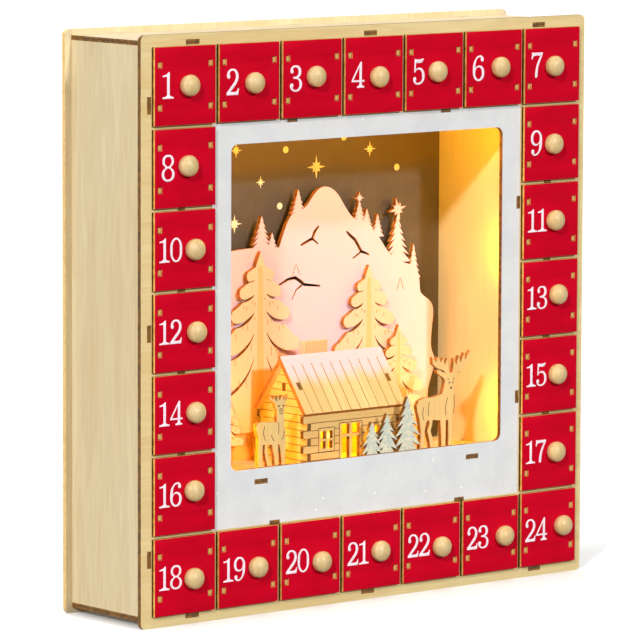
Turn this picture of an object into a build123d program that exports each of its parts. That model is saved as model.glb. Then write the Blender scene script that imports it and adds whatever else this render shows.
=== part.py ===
from build123d import *

import os
from math import asin, atan2, cos, degrees, pi, sin, sqrt, tan

# Case
WIDTH = 300.0
HEIGHT = 300.0
DEPTH = 65.0
PLY = 2.5
CORNER_RADIUS = 3.0
SIDE_OVERHANG = 4.0
END_OVERHANG = 3.0
SLOT_FIT = 0.08
BUTT_FIT = 0.02
SEAT_FIT = 0.06

# Drawer grid round the window
COLUMNS = 7
ROWS = 7
BORDER = 5.1
SIDE_GAP = 2.5
LEVEL_GAP = 1.9
DRAWER_SHIFT = 0.6

# Drawers
TRAY_INSET = 2.0
TRAY_TOP_DROP = 3.5
TRAY_REAR_GAP = 8.0
RUNNING_FIT = 0.3
TRAY_TAB = 3.5
TRAY_TAB_RISE = 10.7
KNOB_RADIUS = 5.45
KNOB_WAIST = 2.4
KNOB_CROWN = 3.7
KNOB_SHOULDER = 2.6
PEG_RADIUS = 1.5

# Where each knob was set by hand, from the middle of its drawer front, in number order
KNOB_SPOTS = [
    (1.5, 0.0), (2.0, -0.5), (1.0, 1.0), (2.0, -1.0), (0.5, 0.0), (3.0, 0.5), (0.0, -0.5), (0.5, 1.0),
    (0.0, -0.5), (5.0, 0.0), (1.5, 0.0), (6.0, -0.5), (4.0, 1.5), (5.5, 0.0), (4.0, 0.0), (4.5, 1.5),
    (3.5, -0.5), (4.5, -2.0), (5.0, -0.5), (6.0, -2.0), (4.5, -0.5), (5.5, -2.5), (8.5, -1.0), (9.0, 0.5),
]

# Window
WINDOW_SIDE_MARGIN = 10.25
WINDOW_TOP_MARGIN = 9.65
WINDOW_SILL = 5.6
WINDOW_RADIUS = 4.0

# Tabs that show in the front and back panels
PANEL_TAB = 8.6
SHELF_TAB = 6.6
COLUMN_TAB = 4.8
END_TAB_SPREAD = 117.0
SIDE_TAB_SPREAD = 114.75
UPPER_TAB_SPREAD = 52.0
LOWER_TAB_SPREAD = 63.0
WALL_TAB_SPREAD = 52.0
FLOOR_TAB_SPREAD = 72.0

# Scene layers, from front to back
BAY_HEIGHT = 19.75
SNOW_GAP = 1.2
LAYER_GAP = 0.5
EAVE_GAP = 0.8
SKY_GAP = 3.5
FOOT_TAB = 8.0
SMALL_FOOT_TAB = 3.0

# Mountain and its ridge
MOUNTAIN_MARGIN = 8.0
MOUNTAIN_HEIGHT = 141.0
MOUNTAIN_FOOT_SPREAD = 70.0
CREVICE_WIDTH = 1.9
CREVICE_ARM_WIDTH = 1.2
CREVICE_TIP = 0.3
CREVICE_BLUNT = 0.5
STAR_WAIST = 0.36
STAR_SHORT = 0.62

# Pines: place across the scene, half width, height, tiers and the share of the height where they are widest
LEFT_PINE = (-29.5, 36.0, 110.0, 6, 0.53)
CENTRE_PINE = (45.0, 35.0, 98.0, 6, 0.58)
RIGHT_PINE = (63.0, 23.0, 65.0, 5, 0.62)
SMALL_PINE = (-53.0, 9.5, 33.0, 5, 0.6)
# Snowy pines: place, half width, height and tiers
SNOWY_PINES = ((5.6, 6.8, 22.2, 5), (15.9, 7.2, 25.8, 5), (30.1, 8.7, 33.7, 6))
SNOWY_WIDEST = 0.6
BRANCH_NOTCH = 0.62
BRANCH_DROOP = 0.45
TOP_SHOULDER = (0.35, 0.55)
TIER_LEAD = 3.3
TIER_END = 5.7
LOBE_DROOP = 0.13
LOBE_HEEL = 0.84
LOBE_END = (1.0, 0.36)
LOBE_SHOULDER = (0.86, 0.66)
LOBE_MIDDLE = (0.45, 0.75)
SLIT_ROOT = 0.6
SLIT_MOUTH = (0.45, 2.6)
LOBED_TRUNK = 0.12
TRUNK_SHARE = 0.16
SKIRT_SHARE = 0.06

# Deer
FAWN_X = -60.0
STAG_X = 52.0

# Cabin
CABIN_X = 0.0
CABIN_LENGTH = 63.0
EAVE_HEIGHT = 29.0
RIDGE_HEIGHT = 57.2
EAVE_OVERHANG = 2.0
ROOF_OVERHANG = 2.8
LOG_COURSES = 7
LOG_END = 2.5
WALL_FOOT_SPREAD = 20.0
ROOF_TAB = 4.5
ROOF_TAB_RUN = 12.0
CABIN_WINDOW_SPREAD = 18.4
CABIN_WINDOW_RISE = 14.2
PANE = (3.4, 4.0)
PANE_PITCH = (4.6, 5.2)
DOOR_X = -2.0
DOOR_PANE_WIDTH = 5.4
DOOR_PANE_PITCH = 7.0
DOOR_SILL = 2.0
DOOR_RAIL = 15.4
DOOR_HEAD = 21.5
RAIL_WIDTH = 1.4
ATTIC = (3.0, 4.5)
ATTIC_RISE = 41.0
CHIMNEY_X = -9.2
CHIMNEY_WIDTH = 15.5
CHIMNEY_DEPTH = 5.0
CHIMNEY_TOP = 6.2
CHIMNEY_SETBACK = 0.8

# Lights
WIRE_RADIUS = 0.5
WIRE_FIT = 0.15
WIRE_BEND = 4.0
WIRE_INSET = 4.2
BULB_RADIUS = 2.2
BULB_GAP = 0.2
LOW_BULB_RISE = 22.0
HIGH_BULB_RISE = 105.0
TOP_BULB_SPREAD = 62.0
WIRE_END_RISE = 14.0
CABIN_BULB_RISE = 12.0

# Battery box
CELL_LENGTH = 44.5
CELL_RADIUS = 5.25
CELL_NUB = (1.9, 1.0)
CELL_FIT = 0.3
CONTACT_PLATE = 0.5
CONTACT_ROOM = 2.5
CONTACT_FIT = 0.05
BOX_WALL = 1.5
FLANGE_LAP = 1.8
FLANGE_THICK = 1.4
COVER_THICK = 1.6
COVER_LAP = 1.5
COVER_LIP = 0.8
COVER_FIT = 0.15
COVER_TRAVEL = 10.0
GRIP_GROOVES = 3
GRIP_PITCH = 2.0
GRIP_WIDTH = 0.8
GRIP_DEPTH = 0.5
SWITCH_ROOM = 14.0
SWITCH_KEY = (4.0, 3.0)
SWITCH_TRAVEL = 4.0
SWITCH_DEPTH = 3.0
SWITCH_SUNK = 0.3

# Outlines of the deer, in millimetres from the point on the floor below the body
STAG_OUTLINE = [
    (-11.5, 0), (-10.5, 8), (-10.2, 14), (-11, 20), (-12.4, 24), (-13.2, 27.5), (-11.8, 30.2), (-8, 31.4),
    (-2, 31.2), (4.5, 32.6), (5.8, 36), (6.6, 39.6), (5.2, 41.4), (1.4, 43.6), (0.6, 45.8), (4.2, 44.6),
    (7.2, 43.2), (5.5, 45), (1, 46.6), (-2, 48.8), (-2.4, 52.6), (0.2, 49.8), (1.6, 52.6), (3.6, 49.2),
    (5.2, 51.8), (6.4, 47.6), (8.2, 51.2), (8.8, 44.8), (9.6, 43.6), (11.6, 43.4), (12.2, 45.4),
    (12.6, 50.9), (14.4, 47.2), (16.2, 52.2), (17.4, 48), (20, 53.4), (20.6, 49.4), (24, 54.4),
    (24.6, 53.2), (23.2, 48.8), (19.2, 45.2), (15, 43.2), (17.6, 43.4), (14.8, 41.2), (14, 37.2),
    (12.9, 34.6), (13.3, 29), (12.8, 23.5), (11.4, 20.2), (11.6, 10), (11.4, 0), (9, 0), (9.2, 10),
    (9, 18.4), (7.3, 18.4), (7.2, 10), (7, 0), (4.4, 0), (4.2, 10), (3.4, 18.6), (-1.8, 19.4),
    (-2.4, 16.4), (-3.4, 13.6), (-0.6, 6), (0.2, 0), (-2.4, 0), (-4, 8), (-5.6, 13.8), (-4, 17.6),
    (-4.8, 19.8), (-6.6, 18), (-7.4, 13.8), (-7.8, 8), (-8.6, 0),
]
FAWN_OUTLINE = [
    (-8.6, 0), (-8.4, 14), (-8.2, 20), (-9.8, 24.4), (-9.6, 27), (-6.6, 28.2), (-0.5, 27.4), (3.8, 27.2),
    (4.1, 32.8), (3.1, 34.6), (2.6, 37), (-0.6, 39.2), (-2.2, 41), (1.8, 39), (2, 41), (3.6, 38.4),
    (4.4, 40.9), (5.6, 38.2), (7.4, 40.9), (8.1, 38.4), (11.4, 40.9), (9.6, 37.2), (9.2, 34.6),
    (8.4, 31.2), (8.8, 25), (9.8, 19), (9.4, 12), (9.1, 0), (7.3, 0), (7, 8), (5.6, 15.6), (4.6, 15.6),
    (5, 8), (4.8, 0), (3, 0), (2.2, 9), (0.6, 15.8), (-2.6, 16), (-2.6, 13), (-0.4, 6), (0, 0),
    (-1.9, 0), (-2.6, 6), (-4.4, 12.6), (-3.9, 16), (-5.4, 16.2), (-5.8, 10), (-6.4, 0),
]
STAG_FEET = (-10.05, 10.2)
FAWN_FEET = (-7.5, 8.2)

# The mountain's ridge, as shares of its half width and of its height
RIDGE_OUTLINE = [
    (-0.96, 0), (-1, 0.23), (-0.97, 0.42), (-0.88, 0.55), (-0.8, 0.63), (-0.69, 0.68), (-0.6, 0.76),
    (-0.49, 0.785), (-0.37, 0.79), (-0.26, 0.79), (-0.15, 0.785), (-0.095, 0.87), (-0.05, 0.907),
    (0.03, 0.925), (0.09, 0.965), (0.17, 1), (0.21, 0.997), (0.27, 0.972), (0.32, 0.928), (0.4, 0.87),
    (0.55, 0.815), (0.585, 0.79), (0.65, 0.735), (0.72, 0.7), (0.86, 0.66), (0.885, 0.61),
    (0.895, 0.57), (0.97, 0.53), (0.99, 0.5), (0.985, 0.45), (0.975, 0.39), (0.98, 0.345), (1, 0.315),
    (0.985, 0.255), (0.955, 0.2), (0.94, 0),
]
RIDGE_CLEFT = 10
# Pines on the ridge: place and foot as shares, then half width, height, tiers, star size and its lean
RIDGE_PINES = [
    (-0.68, 0.64, 6.8, 22.0, 6, 0, 0),
    (-0.275, 0.77, 7.6, 19.5, 6, 0, 0),
    (-0.2, 0.765, 4.6, 11.0, 4, 0, 0),
    (-0.012, 0.88, 6.4, 16.5, 6, 0, 0),
    (0.435, 0.84, 5.4, 14.0, 5, 3.3, 0),
    (0.49, 0.82, 5.0, 12.0, 5, 0, 0),
    (0.57, 0.79, 4.6, 13.0, 5, 0, 0),
    (0.72, 0.68, 9.2, 28.0, 7, 6.2, 13),
    (0.84, 0.62, 5.0, 19.5, 6, 0, 0),
]
# Open crevices in the snow and the finer arms that leave them, as shares of the half width and height
CREVICES = [
    [(0.005, 0.787), (0.09, 0.8085), (0.106, 0.833), (0.138, 0.8546)],
    [(0.34, 0.826), (0.361, 0.812), (0.403, 0.791), (0.435, 0.759), (0.451, 0.745), (0.509, 0.7305)],
    [(-0.159, 0.642), (-0.085, 0.663), (-0.032, 0.667), (0.011, 0.649), (0.032, 0.638), (0.149, 0.628)],
]
CREVICE_ARMS = [
    [(0.09, 0.8085), (0.132, 0.787)],
    [(0.451, 0.745), (0.387, 0.721)],
    [(0.016, 0.637), (-0.027, 0.6206), (-0.058, 0.585)],
]

# Places worked out from the sizes above
PITCH_X = (WIDTH - 2 * BORDER) / COLUMNS
PITCH_Z = (HEIGHT - 2 * BORDER) / ROWS
FRONT_WIDTH = PITCH_X - SIDE_GAP
FRONT_HEIGHT = PITCH_Z - LEVEL_GAP
knob_projection = KNOB_WAIST + KNOB_CROWN
knob_foot = sqrt(KNOB_RADIUS**2 - KNOB_WAIST**2)
knob_undercut = degrees(asin(KNOB_WAIST / KNOB_RADIUS))
shoulder_x = KNOB_RADIUS - KNOB_SHOULDER
knob_nose = (shoulder_x**2 + KNOB_CROWN**2 - KNOB_SHOULDER**2) / (2 * (KNOB_CROWN - KNOB_SHOULDER))
shoulder_turn = degrees(atan2(knob_nose - KNOB_CROWN, shoulder_x))
front_y = (PLY + knob_projection - DEPTH) / 2
back_y = front_y + DEPTH
middle_y = front_y + DEPTH / 2
inside_front = front_y + PLY
inside_back = back_y - PLY
inner_depth = DEPTH - 2 * PLY
case_width = WIDTH - 2 * SIDE_OVERHANG
side_x = case_width / 2 - PLY / 2
side_inner_x = case_width / 2 - PLY
top_z = HEIGHT - END_OVERHANG - PLY / 2
bottom_z = END_OVERHANG + PLY / 2
side_height = HEIGHT - 2 * END_OVERHANG - 2 * PLY
upper_shelf_z = HEIGHT - BORDER - PITCH_Z
lower_shelf_z = BORDER + PITCH_Z
wall_x = (COLUMNS / 2 - 1) * PITCH_X
chamber_half = wall_x - PLY / 2
chamber_top = upper_shelf_z - PLY / 2
bay_floor = lower_shelf_z + PLY / 2
floor_bottom = bay_floor + BAY_HEIGHT
floor_top = floor_bottom + PLY
tray_width = FRONT_WIDTH - 2 * TRAY_INSET
tray_depth = inner_depth - TRAY_REAR_GAP
tray_bottom = -FRONT_HEIGHT / 2 + TRAY_INSET
tray_top = FRONT_HEIGHT / 2 - TRAY_TOP_DROP
tray_side_x = tray_width / 2 - PLY / 2

# Front faces of the scene's layers
snow_y = inside_front + SNOW_GAP
deer_y = snow_y + PLY + LAYER_GAP
eave_front = deer_y + PLY + EAVE_GAP
mountain_y = inside_back - SKY_GAP - PLY
trees_y = mountain_y - LAYER_GAP * 2 - PLY
near_trees_y = trees_y - LAYER_GAP * 2 - PLY
eave_back = trees_y - EAVE_GAP
ridge_y = (eave_front + eave_back) / 2
cabin_front = eave_front + EAVE_OVERHANG
cabin_back = eave_back - EAVE_OVERHANG
eave_z = floor_top + EAVE_HEIGHT
ridge_z = floor_top + RIDGE_HEIGHT
pitch = atan2(ridge_z - eave_z, ridge_y - eave_front)
gable_x = CABIN_LENGTH / 2 - PLY / 2


def column_x(column):
    return (column - (COLUMNS - 1) / 2) * PITCH_X


def row_z(row):
    return HEIGHT / 2 + ((ROWS - 1) / 2 - row) * PITCH_Z


def upright(y):
    """Drawing plane across the depth at y: its axes are X and Z, and it faces forward."""
    return Plane(origin=(0, y, 0), x_dir=(1, 0, 0), z_dir=(0, -1, 0))


def write(piece, name):
    piece.label = name
    export_step(piece, f"parts/{name}.step")


def pine(half_width, height, tiers, widest):
    """Outline of a pine standing on the origin, its branches full from a share of its height down."""
    skirt = SKIRT_SHARE * height
    right = [(0, height)]
    for tier in range(1, tiers + 1):
        reach = half_width * min(1, tier / (widest * tiers))
        tip = skirt + (height - skirt) * (1 - tier / tiers)
        right.append((reach, tip))
        right.append((reach * (1 - BRANCH_NOTCH), tip + BRANCH_DROOP * BRANCH_NOTCH * reach))
    trunk = TRUNK_SHARE * half_width
    right[-1] = (trunk, skirt)
    right.append((trunk, 0))
    left = [(-x, z) for x, z in reversed(right[1:])]
    return left + right


def lobed_pine(half_width, height, tiers, widest):
    """Face of a pine whose branches are drooping lobes with slits between, standing on the origin."""
    trunk = LOBED_TRUNK * half_width
    scale = height / (tiers + TIER_END) ** 2
    with BuildSketch(mode=Mode.PRIVATE) as outline:
        with BuildLine():
            for tier in range(1, tiers + 1):
                depth = scale * (tier + TIER_LEAD) ** 2
                step = scale * (tier + TIER_LEAD + 1) ** 2 - depth
                reach = half_width * min(1, depth / (widest * height))
                drop = LOBE_DROOP * tier * reach
                mouth = min(SLIT_MOUTH[0] * drop, SLIT_MOUTH[1])
                root = (trunk, height - depth)
                heel = (LOBE_HEEL * reach, height - depth - drop + mouth)
                end = (reach * LOBE_END[0], heel[1] + step * LOBE_END[1])
                shoulder = (reach * LOBE_SHOULDER[0], heel[1] + step * LOBE_SHOULDER[1])
                middle_x = trunk + LOBE_MIDDLE[0] * (heel[0] - trunk)
                if tier == 1:
                    start = (reach * TOP_SHOULDER[0], height - depth * TOP_SHOULDER[1])
                    Line((0, height), start)
                Line(start, shoulder)
                ThreePointArc(shoulder, end, heel)
                if tier < tiers:
                    start = (heel[0], heel[1] - mouth)
                    low_root = (trunk, root[1] - min(SLIT_ROOT, mouth))
                    upper_middle = (middle_x, root[1] + LOBE_MIDDLE[1] * (heel[1] - root[1]))
                    lower_middle = (middle_x, low_root[1] + LOBE_MIDDLE[1] * (start[1] - low_root[1]))
                    ThreePointArc(heel, upper_middle, root)
                    Line(root, low_root)
                    ThreePointArc(low_root, lower_middle, start)
            Polyline(heel, (trunk, heel[1]), (trunk, 0), (0, 0), (0, height))
        make_face()
        mirror(about=Plane.YZ)
    return outline.sketch


def star(size):
    """Outline of an eight-pointed star, its upright and level points the longest."""
    points = []
    for corner in range(16):
        reach = size * STAR_WAIST
        if corner % 4 == 0:
            reach = size
        elif corner % 2 == 0:
            reach = size * STAR_SHORT
        points.append((reach * cos(corner * pi / 8), reach * sin(corner * pi / 8)))
    return points


def crevice(points, ends):
    """Outline of a crevice along some points: ends gives its width at each point."""
    upper = []
    lower = []
    last = len(points) - 1
    for place, (x, z) in enumerate(points):
        before = points[max(place - 1, 0)]
        after = points[min(place + 1, last)]
        turn = atan2(after[1] - before[1], after[0] - before[0])
        half = ends[place] / 2
        upper.append((x - half * sin(turn), z + half * cos(turn)))
        lower.append((x + half * sin(turn), z - half * cos(turn)))
    return upper + lower[::-1]


def roof_under(y):
    """Height of the roof's underside at a depth y."""
    run = min(y - eave_front, eave_back - y)
    return eave_z + run * tan(pitch) - PLY / cos(pitch)


os.makedirs("parts", exist_ok=True)

# Drawer places in number order: along the top, down the two columns in turn, along the bottom
drawer_x = [column_x(column) + DRAWER_SHIFT for column in range(COLUMNS)]
cells = [(x, row_z(0)) for x in drawer_x]
for row in range(1, ROWS - 1):
    cells += [(drawer_x[0], row_z(row)), (drawer_x[-1], row_z(row))]
cells += [(x, row_z(ROWS - 1)) for x in drawer_x]

end_tab_x = [-END_TAB_SPREAD, 0, END_TAB_SPREAD]
side_tab_z = [HEIGHT / 2 + SIDE_TAB_SPREAD * step for step in (-1, 0, 1)]
wall_tab_z = [HEIGHT / 2 - WALL_TAB_SPREAD, HEIGHT / 2 + WALL_TAB_SPREAD]
upper_tab_x = [-UPPER_TAB_SPREAD, UPPER_TAB_SPREAD]
lower_tab_x = [-LOWER_TAB_SPREAD, LOWER_TAB_SPREAD]
floor_tab_x = [-FLOOR_TAB_SPREAD, FLOOR_TAB_SPREAD]
floor_z = floor_top - PLY / 2
column_shelf_x = (wall_x + PLY / 2 + side_inner_x) / 2
column_shelf_width = side_inner_x - wall_x - PLY / 2
column_shelf_z = [row_z(row) - PITCH_Z / 2 for row in range(1, ROWS - 2)]

# Tab ends in the front and back panels: centre, width and height
level_tabs = [(x, top_z, PANEL_TAB) for x in end_tab_x]
level_tabs += [(x, bottom_z, PANEL_TAB) for x in end_tab_x]
level_tabs += [(x, upper_shelf_z, SHELF_TAB) for x in upper_tab_x]
level_tabs += [(x, lower_shelf_z, SHELF_TAB) for x in lower_tab_x]
level_tabs += [(x, floor_z, PANEL_TAB) for x in floor_tab_x]
for z in column_shelf_z:
    level_tabs += [(-column_x(COLUMNS - 1), z, COLUMN_TAB), (column_x(COLUMNS - 1), z, COLUMN_TAB)]
upright_tabs = [(x, z, PANEL_TAB) for x in (-side_x, side_x) for z in side_tab_z]
upright_tabs += [(x, z, SHELF_TAB) for x in (-wall_x, wall_x) for z in wall_tab_z]


def tab_slots():
    """Cuts every tab's slot in the sketch of the front or back panel."""
    for x, z, length in level_tabs:
        with Locations((x, z)):
            Rectangle(length + 2 * SLOT_FIT, PLY + 2 * SLOT_FIT, mode=Mode.SUBTRACT)
    for x, z, length in upright_tabs:
        with Locations((x, z)):
            Rectangle(PLY + 2 * SLOT_FIT, length + 2 * SLOT_FIT, mode=Mode.SUBTRACT)


# Front panel: a hole behind each drawer front, the window, and the slots of the tabs
window_width = 2 * (chamber_half - WINDOW_SIDE_MARGIN)
window_bottom = floor_top + WINDOW_SILL
window_top = chamber_top - WINDOW_TOP_MARGIN
hole_width = tray_width + 2 * RUNNING_FIT
hole_bottom = tray_bottom - RUNNING_FIT
hole_height = FRONT_HEIGHT - 2 * TRAY_INSET + 2 * RUNNING_FIT
with BuildPart() as front_panel:
    with BuildSketch(upright(inside_front)):
        with Locations((0, HEIGHT / 2)):
            RectangleRounded(WIDTH, HEIGHT, CORNER_RADIUS)
        with Locations([(x, z + hole_bottom + hole_height / 2) for x, z in cells]):
            Rectangle(hole_width, hole_height, mode=Mode.SUBTRACT)
        with Locations((0, (window_bottom + window_top) / 2)):
            RectangleRounded(window_width, window_top - window_bottom, WINDOW_RADIUS, mode=Mode.SUBTRACT)
        tab_slots()
    extrude(amount=PLY)
write(front_panel.part, "front_panel")

# Battery box places, along X from its middle and in height
cell_bay = 2 * CELL_LENGTH + 2 * CONTACT_ROOM
cover_length = cell_bay + 2 * COVER_LAP
box_left = -cover_length / 2 - COVER_FIT - SWITCH_ROOM
box_right = cover_length / 2 + COVER_TRAVEL + COVER_FIT + BOX_WALL
box_length = box_right - box_left
box_x = (box_left + box_right) / 2
box_height = 2 * (CELL_RADIUS + CELL_FIT + BOX_WALL)
box_z = bay_floor + BAY_HEIGHT / 2
recess_y = back_y - COVER_THICK - COVER_FIT
cell_y = recess_y - CELL_FIT - CELL_RADIUS
box_front = cell_y - CELL_RADIUS - CELL_FIT - BOX_WALL

# Back panel
with BuildPart() as back_panel:
    with BuildSketch(upright(back_y)):
        with Locations((0, HEIGHT / 2)):
            RectangleRounded(WIDTH, HEIGHT, CORNER_RADIUS)
        with Locations((box_x, box_z)):
            Rectangle(box_length + 2 * COVER_FIT, box_height + 2 * COVER_FIT, mode=Mode.SUBTRACT)
        tab_slots()
    extrude(amount=PLY)
write(back_panel.part, "back_panel")

# Top and bottom panels lap over the ends of the side panels
for name, z in (("top_panel", top_z), ("bottom_panel", bottom_z)):
    with BuildPart() as end_panel:
        with BuildSketch(Plane.XY.offset(z - PLY / 2)):
            with Locations((0, middle_y)):
                Rectangle(case_width, inner_depth)
            with Locations([(x, middle_y) for x in end_tab_x]):
                Rectangle(PANEL_TAB, DEPTH)
        extrude(amount=PLY)
    write(end_panel.part, name)

for name, side in (("left_side_panel", -1), ("right_side_panel", 1)):
    with BuildPart() as side_panel:
        with BuildSketch(Plane.YZ.offset(side * side_x - PLY / 2)):
            with Locations((middle_y, HEIGHT / 2)):
                Rectangle(inner_depth, side_height)
            with Locations([(middle_y, z) for z in side_tab_z]):
                Rectangle(DEPTH, PANEL_TAB)
        extrude(amount=PLY)
    write(side_panel.part, name)

# Full-width shelves under the top row and over the bottom row
for name, z, tabs in (
    ("upper_shelf", upper_shelf_z, upper_tab_x),
    ("lower_shelf", lower_shelf_z, lower_tab_x),
):
    with BuildPart() as shelf:
        with BuildSketch(Plane.XY.offset(z - PLY / 2)):
            with Locations((0, middle_y)):
                Rectangle(2 * side_inner_x, inner_depth)
            with Locations([(x, middle_y) for x in tabs]):
                Rectangle(SHELF_TAB, DEPTH)
        extrude(amount=PLY)
    write(shelf.part, name)

for name, side in (("left_chamber_wall", -1), ("right_chamber_wall", 1)):
    with BuildPart() as chamber_wall:
        with BuildSketch(Plane.YZ.offset(side * wall_x - PLY / 2)):
            with Locations((middle_y, (bay_floor + chamber_top) / 2)):
                Rectangle(inner_depth, chamber_top - bay_floor)
            with Locations([(middle_y, z) for z in wall_tab_z]):
                Rectangle(DEPTH, SHELF_TAB)
        extrude(amount=PLY)
    write(chamber_wall.part, name)

# Short shelves between the drawers of the two columns, one tab at each end
with BuildPart() as column_shelves:
    for z in column_shelf_z:
        with BuildSketch(Plane.XY.offset(z - PLY / 2)):
            with Locations((-column_shelf_x, middle_y), (column_shelf_x, middle_y)):
                Rectangle(column_shelf_width, inner_depth)
            with Locations((column_x(0), middle_y), (column_x(COLUMNS - 1), middle_y)):
                Rectangle(COLUMN_TAB, DEPTH)
        extrude(amount=PLY)
write(column_shelves.part, "column_shelves")

# Dividers between the drawers of the top and bottom rows
divider_x = [column_x(column) + PITCH_X / 2 for column in range(COLUMNS - 1)]
top_divider_bottom = upper_shelf_z + PLY / 2
top_divider_top = top_z - PLY / 2
bottom_divider_bottom = bottom_z + PLY / 2
bottom_divider_top = lower_shelf_z - PLY / 2
with BuildPart() as row_dividers:
    for x in divider_x:
        with BuildSketch(Plane.YZ.offset(x - PLY / 2)):
            with Locations((middle_y, (top_divider_bottom + top_divider_top) / 2)):
                Rectangle(inner_depth, top_divider_top - top_divider_bottom)
            with Locations((middle_y, (bottom_divider_bottom + bottom_divider_top) / 2)):
                Rectangle(inner_depth, bottom_divider_top - bottom_divider_bottom)
        extrude(amount=PLY)
write(row_dividers.part, "row_dividers")

# Feet of the standing pieces, as the slots that they take in the floor: place, width and depth
snow_feet = [(x, snow_y + PLY / 2, SMALL_FOOT_TAB, PLY) for x, half, height, tiers in SNOWY_PINES]
deer_feet = [(STAG_X + foot, deer_y + PLY / 2, SMALL_FOOT_TAB, PLY) for foot in STAG_FEET]
deer_feet += [(FAWN_X + foot, deer_y + PLY / 2, SMALL_FOOT_TAB, PLY) for foot in FAWN_FEET]
pine_feet = [(spot[0], trees_y + PLY / 2, FOOT_TAB, PLY) for spot in (LEFT_PINE, CENTRE_PINE)]
pine_feet += [(spot[0], near_trees_y + PLY / 2, SMALL_FOOT_TAB, PLY) for spot in (RIGHT_PINE, SMALL_PINE)]
mountain_feet = [
    (side * MOUNTAIN_FOOT_SPREAD, mountain_y + PLY / 2, FOOT_TAB, PLY) for side in (-1, 1)
]
cabin_feet = []
for side in (-1, 1):
    cabin_feet.append((CABIN_X + side * WALL_FOOT_SPREAD, cabin_front + PLY / 2, FOOT_TAB, PLY))
    cabin_feet.append((CABIN_X + side * WALL_FOOT_SPREAD, cabin_back - PLY / 2, FOOT_TAB, PLY))
    cabin_feet.append((CABIN_X + side * gable_x, ridge_y, PLY, FOOT_TAB))
floor_slots = snow_feet + deer_feet + pine_feet + mountain_feet + cabin_feet

# Wire places: up one side of the window, across and down the other, and a branch to the cabin
wire_x = chamber_half - WIRE_INSET
wire_y = inside_front + BULB_GAP + BULB_RADIUS
wire_top = chamber_top - WIRE_INSET
wire_end = floor_top + WIRE_END_RISE
wire_back = cell_y

with BuildPart() as scene_floor:
    with BuildSketch(Plane.XY.offset(floor_bottom)):
        with Locations((0, middle_y)):
            Rectangle(2 * chamber_half, inner_depth)
        with Locations([(x, middle_y) for x in floor_tab_x]):
            Rectangle(PANEL_TAB, DEPTH)
        for x, y, width, depth in floor_slots:
            with Locations((x, y)):
                Rectangle(width + 2 * SLOT_FIT, depth + 2 * SLOT_FIT, mode=Mode.SUBTRACT)
        with Locations((-wire_x, wire_y), (CABIN_X, ridge_y)):
            Circle(WIRE_RADIUS + WIRE_FIT, mode=Mode.SUBTRACT)
    extrude(amount=PLY)
write(scene_floor.part, "scene_floor")

# Mountain board
mountain_half = chamber_half - MOUNTAIN_MARGIN


def on_mountain(point):
    return (point[0] * mountain_half, floor_top + point[1] * MOUNTAIN_HEIGHT)


def foot_tab(x, width):
    """Adds a tab through the floor under a standing board."""
    with Locations((x, floor_top - PLY / 2)):
        Rectangle(width, PLY)


with BuildPart() as mountain:
    with BuildSketch(upright(mountain_y + PLY)):
        with BuildLine():
            ridge = [on_mountain(point) for point in RIDGE_OUTLINE]
            Spline(*ridge[1:RIDGE_CLEFT + 1])
            Spline(*ridge[RIDGE_CLEFT:-1])
            Polyline(ridge[-2], ridge[-1], ridge[0], ridge[1])
        make_face()
        for across, foot, half, height, tiers, star_size, lean in RIDGE_PINES:
            with Locations(on_mountain((across, foot))):
                Polygon(*pine(half, height, tiers, 1), align=None)
            if star_size:
                x, z = on_mountain((across, foot))
                with Locations((x, z + height + star_size * STAR_WAIST)):
                    Polygon(*star(star_size), rotation=lean, align=None)
        for points in CREVICES:
            swell = [sin(pi * (place + CREVICE_BLUNT) / len(points)) for place in range(len(points))]
            widths = [CREVICE_WIDTH * sqrt(share) for share in swell]
            Polygon(*crevice([on_mountain(p) for p in points], widths), align=None, mode=Mode.SUBTRACT)
        for points in CREVICE_ARMS:
            widths = [CREVICE_ARM_WIDTH * (1 - CREVICE_TIP * place) for place in range(len(points))]
            Polygon(*crevice([on_mountain(p) for p in points], widths), align=None, mode=Mode.SUBTRACT)
        for x, y, width, depth in mountain_feet:
            foot_tab(x, width)
    extrude(amount=PLY)
write(mountain.part, "mountain")

# Pines in front of the mountain
for name, spot, y, tab in (
    ("left_pine", LEFT_PINE, trees_y, FOOT_TAB),
    ("centre_pine", CENTRE_PINE, trees_y, FOOT_TAB),
    ("right_pine", RIGHT_PINE, near_trees_y, SMALL_FOOT_TAB),
    ("small_pine", SMALL_PINE, near_trees_y, SMALL_FOOT_TAB),
):
    x, half, height, tiers, widest = spot
    with BuildPart() as standing_pine:
        with BuildSketch(upright(y + PLY)):
            with Locations((x, floor_top)):
                add(lobed_pine(half, height, tiers, widest))
            foot_tab(x, tab)
        extrude(amount=PLY)
    write(standing_pine.part, name)

with BuildPart() as snowy_trees:
    with BuildSketch(upright(snow_y + PLY)):
        for x, half, height, tiers in SNOWY_PINES:
            with Locations((x, floor_top)):
                Polygon(*pine(half, height, tiers, SNOWY_WIDEST), align=None)
            foot_tab(x, SMALL_FOOT_TAB)
    extrude(amount=PLY)
write(snowy_trees.part, "snowy_trees")

# Deer
for name, place, outline, feet in (
    ("stag", STAG_X, STAG_OUTLINE, STAG_FEET),
    ("fawn", FAWN_X, FAWN_OUTLINE, FAWN_FEET),
):
    with BuildPart() as deer:
        with BuildSketch(upright(deer_y + PLY)):
            with Locations((place, floor_top)):
                Polygon(*outline, align=None)
            for foot in feet:
                foot_tab(place + foot, SMALL_FOOT_TAB)
        extrude(amount=PLY)
    write(deer.part, name)

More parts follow.
